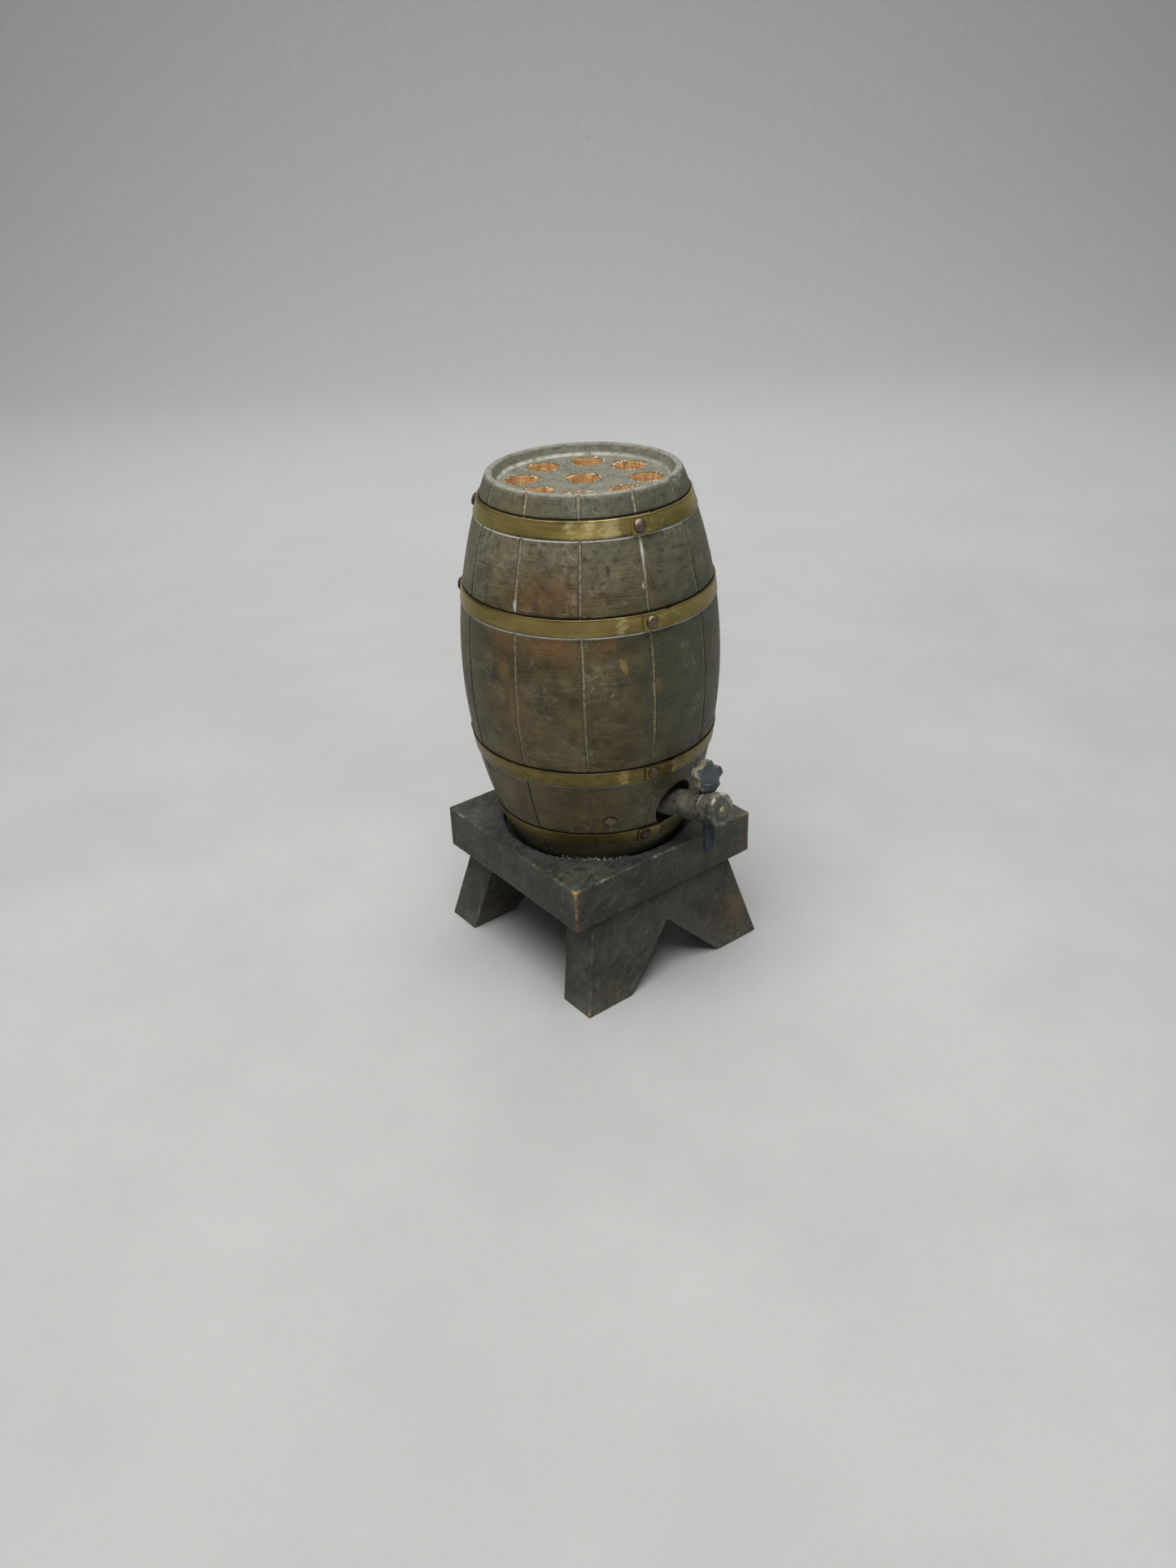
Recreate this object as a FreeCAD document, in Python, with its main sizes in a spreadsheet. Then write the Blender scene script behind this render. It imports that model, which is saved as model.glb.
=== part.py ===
"""Small turned wooden barrel with a tap, standing on a four-footed wooden stand.

Millimetres. +Z is up. The origin is on the floor, under the barrel's own axis.
The tap side is -Y. The barrel is set on the stand with a slight turn about Z.
"""

import FreeCAD
import Part
import math
import os
import Sketcher

Vector = FreeCAD.Vector
Rotation = FreeCAD.Rotation
Placement = FreeCAD.Placement

DOCUMENT = FreeCAD.newDocument("barrel_on_stand")

# Driving dimensions, by name. Levels are heights above the floor.
SIZES = {
    # stand
    "stand_length": 100.0,
    "stand_width": 96.0,
    "plate_underside": 42.0,
    "plate_thickness": 20.0,
    "seat_radius": 42.5,
    "seat_depth": 3.0,
    "board_top": 41.97,
    "board_notch_top": 26.5,
    "board_notch_half": 26.0,
    "board_half_foot": 50.0,
    "board_half_top": 39.2,
    "board_foot_outer": 53.8,
    "board_foot_inner": 35.4,
    "board_head_outer": 45.3,
    "board_head_inner": 26.9,
    "dowel_radius": 3.0,
    "dowel_hole_radius": 3.05,
    "dowel_spread": 22.0,
    "dowel_offset": 36.6,
    "dowel_foot": 28.3,
    "dowel_length": 25.4,
    # barrel
    "barrel_turn": 4.0,
    "barrel_foot": 59.3,
    "barrel_foot_corner": 60.5,
    "barrel_middle": 140.5,
    "barrel_rim_corner": 218.6,
    "barrel_rim_top": 220.5,
    "head_level": 215.8,
    "bulge_radius": 55.2,
    "stave_curve": 210.0,
    "foot_face_radius": 38.3,
    "rim_crest_radius": 38.4,
    "rim_rounding": 2.3,
    "rim_slope_top": 37.2,
    "rim_slope_level": 220.2,
    "head_radius": 34.2,
    "kerf_width": 1.5,
    "kerf_depth": 1.4,
    "kerf_count": 12,
    "head_hole_radius": 6.2,
    "head_hole_ring": 25.0,
    "head_hole_depth": 45.0,
    "head_hole_count": 8,
    "peg_radius": 5.0,
    "peg_hole_radius": 5.05,
    "peg_bottom": 46.2,
    "peg_top": 72.0,
    "peg_hole_top": 73.5,
    # hoops
    "hoop_thickness": 0.8,
    "hoop_half_width": 3.3,
    "rebate_depth": 0.35,
    "rebate_margin": 0.6,
    "rim_hoop_level": 208.3,
    "upper_hoop_level": 172.5,
    "lower_hoop_level": 106.3,
    "foot_hoop_level": 72.6,
    # nails
    "nail_head_radius": 2.65,
    "nail_head_height": 1.4,
    "nail_shank_radius": 0.8,
    "nail_hole_radius": 0.85,
    "nail_length": 9.0,
    "stave_nail_level": 83.0,
    # tap
    "tap_level": 84.0,
    "tap_tilt": 13.0,
    "tap_roll": 11.0,
    "tap_radius": 5.9,
    "tap_shoulder_radius": 6.8,
    "tap_socket_radius": 5.95,
    "tap_recess_radius": 9.6,
    "tap_recess_depth": 7.0,
    "tap_inner_end": 24.0,
    "tap_collar_start": 18.8,
    "tap_collar_radius": 7.25,
    "tap_length": 27.2,
    "tap_edge": 0.9,
    "end_plug_radius": 1.3,
    "end_plug_depth": 4.0,
    "key_offset": 19.3,
    "key_stem_radius": 3.0,
    "key_stem_hole_radius": 3.06,
    "key_stem_bottom": 2.4,
    "key_neck_radius": 3.9,
    "key_neck_bottom": 7.4,
    "key_centre_height": 13.7,
    "key_lobe_radius": 6.7,
    "key_notch_radius": 2.9,
    "key_notch_ring": 8.1,
    "key_thickness": 4.2,
    "spout_radius": 2.7,
    "spout_hole_radius": 2.75,
    "spout_top": 3.2,
    "spout_tip": 18.8,
    "spout_rounding": 1.4,
}

KERF_PITCH = 30.0
FIRST_KERF = 15.0
LAP_NAIL = -105.0
NAILS_PER_HOOP = 3
LAP_BEFORE_NAIL = 4.0
LAP_LENGTH = 13.0
STAVE_NAIL_AZIMUTH = -125.0
TAP_AZIMUTH = -87.2
KEY_LOBES = 5
KEY_TURN = -18.0


def stave_radius(level):
    """Radius of the turned barrel at a height."""
    drop = level - SIZES["barrel_middle"]
    curve = SIZES["stave_curve"]
    return SIZES["bulge_radius"] - curve + math.sqrt(curve ** 2 - drop ** 2)


def stave_slope(level):
    """Angle in degrees by which the barrel's surface faces upward at a height."""
    return math.degrees(math.asin((level - SIZES["barrel_middle"]) / SIZES["stave_curve"]))


def add_derived_sizes():
    """Add the sizes that follow from the barrel's curve and from each hoop's height."""
    SIZES["foot_radius"] = stave_radius(SIZES["barrel_foot_corner"])
    SIZES["rim_radius"] = stave_radius(SIZES["barrel_rim_corner"])
    SIZES["kerf_curve"] = SIZES["stave_curve"] - SIZES["kerf_depth"]
    SIZES["kerf_outside"] = SIZES["bulge_radius"] + 5.0
    for end, level in (("low", 58.0), ("high", 222.0)):
        drop = level - SIZES["barrel_middle"]
        reach = math.sqrt(SIZES["kerf_curve"] ** 2 - drop ** 2)
        SIZES["kerf_%s_level" % end] = level
        SIZES["kerf_%s_radius" % end] = SIZES["bulge_radius"] - SIZES["stave_curve"] + reach
    for hoop in ("rim", "upper", "lower", "foot"):
        middle = SIZES[hoop + "_hoop_level"]
        for end, side in (("low", -1.0), ("high", 1.0)):
            edge = middle + side * SIZES["hoop_half_width"]
            step = edge + side * SIZES["rebate_margin"]
            inner = stave_radius(edge) - SIZES["rebate_depth"] + 0.05
            floor = stave_radius(step) - SIZES["rebate_depth"]
            SIZES["%s_hoop_%s_level" % (hoop, end)] = edge
            SIZES["%s_hoop_%s_inner" % (hoop, end)] = inner
            SIZES["%s_hoop_%s_outer" % (hoop, end)] = inner + SIZES["hoop_thickness"]
            SIZES["%s_hoop_%s_lap" % (hoop, end)] = inner + 2.0 * SIZES["hoop_thickness"]
            SIZES["%s_rebate_%s_level" % (hoop, end)] = step
            SIZES["%s_rebate_%s_floor" % (hoop, end)] = floor
            SIZES["%s_rebate_%s_outside" % (hoop, end)] = floor + 4.0
    SIZES["nail_dome_radius"] = (
        (SIZES["nail_head_radius"] ** 2 + SIZES["nail_head_height"] ** 2)
        / (2.0 * SIZES["nail_head_height"])
    )
    dome_sink = SIZES["nail_dome_radius"] - SIZES["nail_head_height"]
    SIZES["nail_dome_angle"] = math.degrees(math.asin(dome_sink / SIZES["nail_dome_radius"]))
    SIZES["tap_start"] = stave_radius(SIZES["tap_level"])


def make_sheet():
    """Put every size in a spreadsheet cell that carries its name."""
    sheet = DOCUMENT.addObject("Spreadsheet::Sheet", "Sizes")
    for row, alias in enumerate(SIZES, start=1):
        sheet.set("A%d" % row, alias)
        sheet.set("B%d" % row, "%.6f" % SIZES[alias])
        sheet.setAlias("B%d" % row, alias)
    DOCUMENT.recompute()


def bind(feature, link, alias):
    """Drive one property of a feature from a named size."""
    feature.setExpression(link, "Sizes.%s" % alias)


def origin_part(body, role):
    """Return a body's own origin plane or axis by its role."""
    for feature in body.Origin.OriginFeatures:
        if feature.Role == role:
            return feature
    raise ValueError(role)


def new_body(name, placement=None):
    """Start a PartDesign body with the node's name."""
    body = DOCUMENT.addObject("PartDesign::Body", name)
    body.Label = name
    if placement is not None:
        body.Placement = placement
    return body


def new_sketch(body, name, plane, shift=None):
    """Start a sketch on one of the body's origin planes."""
    sketch = body.newObject("Sketcher::SketchObject", name)
    sketch.AttachmentSupport = [(origin_part(body, plane), "")]
    sketch.MapMode = "FlatFace"
    if shift is not None:
        sketch.AttachmentOffset = shift
    return sketch


def size_of(alias):
    """Number for a name. A leading minus mirrors it, and None is the axis."""
    if alias is None:
        return 0.0
    if alias.startswith("-"):
        return -SIZES[alias[1:]]
    return SIZES[alias]


def name_constraint(sketch, index, name, alias):
    """Name a sketch constraint and drive it from the sheet."""
    sketch.renameConstraint(index, name)
    bind(sketch, "Constraints.%s" % name, alias)


def pin_point(sketch, geometry, end, alias, direction):
    """Hold one coordinate of a point at a named size from the sketch origin."""
    value = size_of(alias)
    if alias is None:
        axis = -2 if direction == "X" else -1
        sketch.addConstraint(Sketcher.Constraint("PointOnObject", geometry, end, axis))
        return
    kind = "Distance" + direction
    if alias.startswith("-"):
        made = sketch.addConstraint(Sketcher.Constraint(kind, geometry, end, -1, 1, -value))
    else:
        made = sketch.addConstraint(Sketcher.Constraint(kind, -1, 1, geometry, end, value))
    name = "g%d_%s_%s" % (geometry, "start" if end == 1 else "end", direction.lower())
    name_constraint(sketch, made, name, alias.lstrip("-"))


def arc_between(start, end, radius, side):
    """Arc of a radius from start to end, bulging left (1) or right (-1) of the chord."""
    chord = end - start
    half = chord.Length / 2.0
    sagitta = radius - math.sqrt(radius ** 2 - half ** 2)
    normal = Vector(-chord.y, chord.x, 0.0).normalize() * side
    return Part.Arc(start, (start + end) * 0.5 + normal * sagitta, end)


def start_of(sketch, geometry, point):
    """Which end of a sketch edge lies on a point."""
    if (sketch.getPoint(geometry, 1) - point).Length < 1e-6:
        return 1
    return 2


def draw_outline(sketch, corners, arcs=None):
    """Draw one closed outline through named corners, with arcs on the sides listed."""
    arcs = arcs or {}
    points = [Vector(size_of(across), size_of(up), 0.0) for across, up in corners]
    count = len(points)
    first = sketch.GeometryCount
    starts = []
    for index, start in enumerate(points):
        end = points[(index + 1) % count]
        if index in arcs:
            alias, side = arcs[index]
            geometry = sketch.addGeometry(arc_between(start, end, SIZES[alias], side), False)
        else:
            geometry = sketch.addGeometry(Part.LineSegment(start, end), False)
        starts.append(start_of(sketch, geometry, start))
    for index in range(count):
        following = (index + 1) % count
        sketch.addConstraint(Sketcher.Constraint(
            "Coincident", first + index, 3 - starts[index],
            first + following, starts[following]))
    for index, (across, up) in enumerate(corners):
        pin_point(sketch, first + index, starts[index], across, "X")
        pin_point(sketch, first + index, starts[index], up, "Y")
    for index, (alias, side) in arcs.items():
        made = sketch.addConstraint(
            Sketcher.Constraint("Radius", first + index, SIZES[alias]))
        name_constraint(sketch, made, "g%d_radius" % (first + index), alias)


def draw_circle(sketch, across, up, radius):
    """Draw one circle with a named centre and radius."""
    centre = Vector(size_of(across), size_of(up), 0.0)
    geometry = sketch.addGeometry(Part.Circle(centre, Vector(0, 0, 1), SIZES[radius]), False)
    pin_point(sketch, geometry, 3, across, "X")
    pin_point(sketch, geometry, 3, up, "Y")
    made = sketch.addConstraint(Sketcher.Constraint("Radius", geometry, SIZES[radius]))
    name_constraint(sketch, made, "g%d_radius" % geometry, radius)


def revolve(body, sketch, name, axis="V_Axis", angle=360.0, cut=False):
    """Turn a sketch about one of its own axes, adding or cutting."""
    kind = "PartDesign::Groove" if cut else "PartDesign::Revolution"
    feature = body.newObject(kind, name)
    feature.Profile = sketch
    feature.ReferenceAxis = (sketch, [axis])
    feature.Angle = angle
    return finish(body, feature)


def finish(body, feature):
    """Make a feature the body's tip and rebuild."""
    body.Tip = feature
    DOCUMENT.recompute()
    return feature


def pad_both_ways(body, sketch, name, length):
    """Pad a sketch evenly to both sides of its plane."""
    pad = body.newObject("PartDesign::Pad", name)
    pad.Profile = sketch
    pad.SideType = "Symmetric"
    bind(pad, "Length", length)
    return finish(body, pad)


def pad_up(body, sketch, name, length):
    """Pad a sketch along its normal."""
    pad = body.newObject("PartDesign::Pad", name)
    pad.Profile = sketch
    bind(pad, "Length", length)
    return finish(body, pad)


def pocket(body, sketch, name, length=None, symmetric=False, flipped=False):
    """Cut a sketch to a named depth, or right through both ways."""
    cut = body.newObject("PartDesign::Pocket", name)
    cut.Profile = sketch
    if symmetric:
        cut.SideType = "Symmetric"
    if length is None:
        cut.Type = "ThroughAll"
    else:
        bind(cut, "Length", length)
    cut.Reversed = flipped
    return finish(body, cut)


def repeat_round(body, feature, name, axis, count):
    """Repeat a feature evenly round an axis."""
    pattern = body.newObject("PartDesign::PolarPattern", name)
    pattern.Originals = [feature]
    pattern.Axis = axis
    pattern.Angle = 360.0
    pattern.Occurrences = count
    return finish(body, pattern)


def drill(body, name, placement, radius, height):
    """Cut a round hole that starts at a placement and runs along its Z axis."""
    hole = body.newObject("PartDesign::SubtractiveCylinder", name)
    hole.Placement = placement
    hole.Radius = SIZES[radius]
    bind(hole, "Radius", radius)
    hole.Height = height
    return finish(body, hole)


def turned(azimuth):
    """Rotation about the barrel's axis."""
    return Rotation(Vector(0, 0, 1), azimuth)


def barrel_place():
    """Where the barrel stands: turned a little on the stand."""
    return Placement(Vector(0, 0, 0), turned(SIZES["barrel_turn"]))


def tap_place():
    """Tap frame on the unturned barrel: X runs outward along the tap, Z is its up."""
    spin = turned(TAP_AZIMUTH)
    tilt = Rotation(Vector(0, 1, 0), -SIZES["tap_tilt"])
    roll = Rotation(Vector(1, 0, 0), -SIZES["tap_roll"])
    point = spin.multVec(Vector(SIZES["tap_start"], 0, SIZES["tap_level"]))
    return Placement(point, spin * tilt * roll)


def key_place():
    """Frame of the key and the spout, on the tap's axis."""
    return tap_place() * Placement(Vector(SIZES["key_offset"], 0, 0), Rotation())


def nail_place(azimuth, level, radius):
    """Frame of a nail: Z points out of the barrel, square to its surface."""
    outward = Rotation(Vector(0, 1, 0), 90.0 - stave_slope(level))
    spin = turned(azimuth)
    point = spin.multVec(Vector(radius, 0, level))
    return Placement(point, spin * outward)


def nail_spots(hoop):
    """Places of one hoop's nails: the lap nail first, then the others round the hoop."""
    level = SIZES[hoop + "_hoop_level"]
    outside = stave_radius(level) - SIZES["rebate_depth"] + SIZES["hoop_thickness"] + 0.1
    spots = []
    for index in range(NAILS_PER_HOOP):
        lift = SIZES["hoop_thickness"] if index == 0 else 0.0
        azimuth = LAP_NAIL + index * 360.0 / NAILS_PER_HOOP
        spots.append(nail_place(azimuth, level, outside + lift))
    return spots


def stave_nail_spot():
    """Place of the single nail driven straight into the wood."""
    level = SIZES["stave_nail_level"]
    return nail_place(STAVE_NAIL_AZIMUTH, level, stave_radius(level) + 0.1)


def inward(spot, depth, lead):
    """Frame of a hole that comes in from `lead` outside a nail and ends `depth` inside."""
    return spot * Placement(Vector(0, 0, -depth), Rotation()), depth + lead


def drill_nail(body, name, spot):
    """Drill the hole that takes one nail."""
    place, height = inward(spot, SIZES["nail_length"] + 0.3, 6.0)
    return drill(body, name, place, "nail_hole_radius", height)


def make_barrel():
    """Solid turned barrel with saw kerfs, hoop rebates, nine head holes and the tap socket."""
    body = new_body("barrel_body")
    profile = new_sketch(body, "barrel_profile", "XZ_Plane")
    draw_outline(
        profile,
        [
            (None, "barrel_foot"),
            ("foot_face_radius", "barrel_foot"),
            ("foot_radius", "barrel_foot_corner"),
            ("rim_radius", "barrel_rim_corner"),
            ("rim_crest_radius", "barrel_rim_top"),
            ("rim_slope_top", "rim_slope_level"),
            ("head_radius", "head_level"),
            (None, "head_level"),
        ],
        {2: ("stave_curve", -1.0), 3: ("rim_rounding", -1.0)},
    )
    revolve(body, profile, "barrel_turned")
    for hoop in ("rim", "upper", "lower", "foot"):
        sketch = new_sketch(body, hoop + "_rebate_profile", "XZ_Plane")
        draw_outline(sketch, [
            (hoop + "_rebate_low_floor", hoop + "_rebate_low_level"),
            (hoop + "_rebate_low_outside", hoop + "_rebate_low_level"),
            (hoop + "_rebate_high_outside", hoop + "_rebate_high_level"),
            (hoop + "_rebate_high_floor", hoop + "_rebate_high_level"),
        ])
        revolve(body, sketch, hoop + "_rebate", cut=True)
    cut_kerfs(body)
    cut_head_holes(body)
    cut_barrel_sockets(body)
    body.Placement = barrel_place()
    return body


def cut_kerfs(body):
    """Twelve upright saw kerfs that imitate the gaps between staves."""
    turn = Placement(Vector(0, 0, 0), Rotation(Vector(0, 1, 0), FIRST_KERF))
    sketch = new_sketch(body, "kerf_profile", "XZ_Plane", turn)
    draw_outline(
        sketch,
        [
            ("kerf_low_radius", "kerf_low_level"),
            ("kerf_outside", "kerf_low_level"),
            ("kerf_outside", "kerf_high_level"),
            ("kerf_high_radius", "kerf_high_level"),
        ],
        {3: ("kerf_curve", 1.0)},
    )
    kerf = pocket(body, sketch, "kerf", "kerf_width", symmetric=True)
    axis = (origin_part(body, "Z_Axis"), [""])
    repeat_round(body, kerf, "kerfs", axis, int(SIZES["kerf_count"]))


def cut_head_holes(body):
    """One blind hole in the middle of the head and a ring of eight."""
    level = Placement(Vector(0, 0, SIZES["head_level"]), Rotation())
    middle = new_sketch(body, "centre_hole_outline", "XY_Plane", level)
    draw_circle(middle, None, None, "head_hole_radius")
    pocket(body, middle, "centre_hole", "head_hole_depth")
    outer = new_sketch(body, "ring_hole_outline", "XY_Plane", level)
    draw_circle(outer, "head_hole_ring", None, "head_hole_radius")
    hole = pocket(body, outer, "ring_hole", "head_hole_depth")
    axis = (origin_part(body, "Z_Axis"), [""])
    repeat_round(body, hole, "ring_holes", axis, int(SIZES["head_hole_count"]))


def cut_barrel_sockets(body):
    """Pivot hole in the foot, the tap's stepped socket, and the nail holes."""
    foot = Placement(Vector(0, 0, SIZES["barrel_foot"] - 1.0), Rotation())
    pivot_height = SIZES["peg_hole_top"] - SIZES["barrel_foot"] + 1.0
    drill(body, "pivot_hole", foot, "peg_hole_radius", pivot_height)
    along = Rotation(Vector(0, 1, 0), 90.0)
    socket_depth = SIZES["tap_inner_end"] + 0.5
    socket = tap_place() * Placement(Vector(-socket_depth, 0, 0), along)
    drill(body, "tap_socket", socket, "tap_socket_radius", socket_depth + 10.0)
    recess_depth = SIZES["tap_recess_depth"]
    recess = tap_place() * Placement(Vector(-recess_depth, 0, 0), along)
    drill(body, "tap_recess", recess, "tap_recess_radius", recess_depth + 10.0)
    for hoop in ("rim", "upper", "lower", "foot"):
        for index, spot in enumerate(nail_spots(hoop)):
            drill_nail(body, "%s_nail_hole_%d" % (hoop, index + 1), spot)
    drill_nail(body, "stave_nail_hole", stave_nail_spot())


def make_hoop(hoop, name):
    """Flat brass strip round the barrel, its end lapped over its start at the lap nail."""
    body = new_body(name)
    band = new_sketch(body, name + "_section", "XZ_Plane")
    draw_outline(band, [
        (hoop + "_hoop_low_inner", hoop + "_hoop_low_level"),
        (hoop + "_hoop_low_outer", hoop + "_hoop_low_level"),
        (hoop + "_hoop_high_outer", hoop + "_hoop_high_level"),
        (hoop + "_hoop_high_inner", hoop + "_hoop_high_level"),
    ])
    revolve(body, band, name + "_band")
    middle = LAP_NAIL - LAP_BEFORE_NAIL + LAP_LENGTH / 2.0
    turn = Placement(Vector(0, 0, 0), Rotation(Vector(0, 1, 0), middle))
    lap = new_sketch(body, name + "_lap_section", "XZ_Plane", turn)
    draw_outline(lap, [
        (hoop + "_hoop_low_inner", hoop + "_hoop_low_level"),
        (hoop + "_hoop_low_lap", hoop + "_hoop_low_level"),
        (hoop + "_hoop_high_lap", hoop + "_hoop_high_level"),
        (hoop + "_hoop_high_inner", hoop + "_hoop_high_level"),
    ])
    lap_turn = revolve(body, lap, name + "_lap", angle=LAP_LENGTH)
    lap_turn.Midplane = True
    DOCUMENT.recompute()
    for index, spot in enumerate(nail_spots(hoop)):
        drill_nail(body, "%s_nail_hole_%d" % (name, index + 1), spot)
    body.Placement = barrel_place()
    return body


def make_nail(name, spot):
    """One domed nail: a shank and a low round head."""
    place = barrel_place() * spot
    shank = DOCUMENT.addObject("Part::Cylinder", name + "_shank")
    bind(shank, "Radius", "nail_shank_radius")
    bind(shank, "Height", "nail_length")
    shank.Placement = place * Placement(Vector(0, 0, -SIZES["nail_length"]), Rotation())
    dome = DOCUMENT.addObject("Part::Sphere", name + "_dome")
    bind(dome, "Radius", "nail_dome_radius")
    bind(dome, "Angle1", "nail_dome_angle")
    sink = SIZES["nail_dome_radius"] - SIZES["nail_head_height"]
    dome.Placement = place * Placement(Vector(0, 0, -sink), Rotation())
    nail = DOCUMENT.addObject("Part::Fuse", name)
    nail.Base = shank
    nail.Tool = dome
    DOCUMENT.recompute()
    return nail


def group(name, members):
    """Several separate, identical solids under one node name."""
    compound = DOCUMENT.addObject("Part::Compound", name)
    compound.Label = name
    compound.Links = members
    DOCUMENT.recompute()
    return compound


def make_hoop_nails(hoop, name):
    """The three nails of one hoop."""
    nails = [make_nail("%s_%d" % (name, index + 1), spot)
             for index, spot in enumerate(nail_spots(hoop))]
    return group(name, nails)


def make_tap_body():
    """Turned wooden tap: shank widening to a collar, holes for the key, spout and plug."""
    body = new_body("tap_body")
    corners = [
        ("-tap_inner_end", None),
        ("tap_length", None),
        ("tap_length", "tap_face_radius"),
        ("tap_edge_start", "tap_collar_radius"),
        ("tap_collar_start", "tap_collar_radius"),
        ("tap_collar_start", "tap_shoulder_radius"),
        (None, "tap_radius"),
        ("-tap_inner_end", "tap_radius"),
    ]
    profile = new_sketch(body, "tap_profile", "XZ_Plane")
    draw_outline(profile, corners, {2: ("tap_edge", -1.0)})
    revolve(body, profile, "tap_turned", axis="H_Axis")
    key_axis = Placement(Vector(SIZES["key_offset"], 0, -SIZES["key_stem_bottom"] - 0.3),
                         Rotation())
    drill(body, "key_hole", key_axis, "key_stem_hole_radius", 20.0)
    spout_axis = Placement(Vector(SIZES["key_offset"], 0, -SIZES["spout_top"]),
                           Rotation(Vector(1, 0, 0), 180.0))
    drill(body, "spout_hole", spout_axis, "spout_hole_radius", 20.0)
    plug_axis = Placement(Vector(SIZES["tap_length"] - SIZES["end_plug_depth"] - 0.1, 0, 0),
                          Rotation(Vector(0, 1, 0), 90.0))
    drill(body, "end_plug_hole", plug_axis, "end_plug_hole_radius", 12.0)
    body.Placement = barrel_place() * tap_place()
    return body


def add_tap_sizes():
    """Sizes of the tap that follow from others."""
    SIZES["tap_face_radius"] = SIZES["tap_collar_radius"] - SIZES["tap_edge"]
    SIZES["tap_edge_start"] = SIZES["tap_length"] - SIZES["tap_edge"]
    SIZES["end_plug_hole_radius"] = SIZES["end_plug_radius"] + 0.04
    SIZES["end_plug_start"] = SIZES["tap_length"] - SIZES["end_plug_depth"]
    SIZES["end_plug_end"] = SIZES["tap_length"] + 0.2
    SIZES["key_neck_top"] = SIZES["key_centre_height"] - 3.0
    SIZES["spout_tip_radius"] = SIZES["spout_radius"] - SIZES["spout_rounding"]
    SIZES["spout_round_start"] = SIZES["spout_tip"] - SIZES["spout_rounding"]


def make_tap_key():
    """Key: a stem that turns in the tap, a thick neck and a flat five-lobed knob."""
    body = new_body("tap_key")
    stem = new_sketch(body, "key_stem_profile", "XZ_Plane")
    draw_outline(stem, [
        (None, "-key_stem_bottom"),
        ("key_stem_radius", "-key_stem_bottom"),
        ("key_stem_radius", "key_neck_bottom"),
        ("key_neck_radius", "key_neck_bottom"),
        ("key_neck_radius", "key_neck_top"),
        (None, "key_neck_top"),
    ])
    revolve(body, stem, "key_stem")
    centre = Placement(Vector(0, SIZES["key_centre_height"], 0), Rotation())
    disc = new_sketch(body, "key_disc_outline", "YZ_Plane", centre)
    draw_circle(disc, None, None, "key_lobe_radius")
    pad_both_ways(body, disc, "key_disc", "key_thickness")
    notch_turn = 90.0 + 180.0 / KEY_LOBES
    place = Placement(Vector(0, SIZES["key_centre_height"], 0),
                      Rotation(Vector(0, 0, 1), notch_turn))
    outline = new_sketch(body, "key_notch_outline", "YZ_Plane", place)
    draw_circle(outline, "key_notch_ring", None, "key_notch_radius")
    notch = pocket(body, outline, "key_notch", "key_cut_width", symmetric=True)
    repeat_round(body, notch, "key_notches", (outline, ["N_Axis"]), KEY_LOBES)
    body.Placement = barrel_place() * key_place() * Placement(Vector(0, 0, 0), turned(KEY_TURN))
    return body


def make_spout():
    """Plain dowel spout with a rounded tip, glued into the underside of the tap."""
    body = new_body("tap_spout")
    profile = new_sketch(body, "spout_profile", "XZ_Plane")
    draw_outline(
        profile,
        [
            (None, "-spout_tip"),
            ("spout_tip_radius", "-spout_tip"),
            ("spout_radius", "-spout_round_start"),
            ("spout_radius", "-spout_top"),
            (None, "-spout_top"),
        ],
        {1: ("spout_rounding", -1.0)},
    )
    revolve(body, profile, "spout_turned")
    body.Placement = barrel_place() * key_place()
    return body


def make_end_plug():
    """Small peg in the middle of the tap's end."""
    body = new_body("tap_end_plug")
    profile = new_sketch(body, "end_plug_profile", "XZ_Plane")
    draw_outline(profile, [
        ("end_plug_start", None),
        ("end_plug_end", None),
        ("end_plug_end", "end_plug_radius"),
        ("end_plug_start", "end_plug_radius"),
    ])
    revolve(body, profile, "end_plug_turned", axis="H_Axis")
    body.Placement = barrel_place() * tap_place()
    return body


def make_plate():
    """Square top of the stand with a shallow round seat for the barrel."""
    body = new_body("stand_plate")
    corners = [
        ("-stand_half_length", "-stand_half_width"),
        ("stand_half_length", "-stand_half_width"),
        ("stand_half_length", "stand_half_width"),
        ("-stand_half_length", "stand_half_width"),
    ]
    bottom = Placement(Vector(0, 0, SIZES["plate_underside"]), Rotation())
    outline = new_sketch(body, "plate_outline", "XY_Plane", bottom)
    draw_outline(outline, corners)
    pad_up(body, outline, "plate_block", "plate_thickness")
    top = Placement(Vector(0, 0, SIZES["plate_top"]), Rotation())
    seat = new_sketch(body, "seat_outline", "XY_Plane", top)
    draw_circle(seat, None, None, "seat_radius")
    pocket(body, seat, "seat", "seat_depth")
    peg = Placement(Vector(0, 0, SIZES["peg_bottom"] - 0.2), Rotation())
    drill(body, "peg_hole", peg, "peg_fixed_radius", SIZES["plate_thickness"])
    for index, (across, along) in enumerate(dowel_spots()):
        spot = Placement(Vector(across, along, SIZES["plate_underside"] - 1.0), Rotation())
        height = SIZES["dowel_foot"] + SIZES["dowel_length"] - SIZES["plate_underside"] + 1.2
        drill(body, "plate_dowel_hole_%d" % (index + 1), spot, "dowel_hole_radius", height)
    return body


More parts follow.
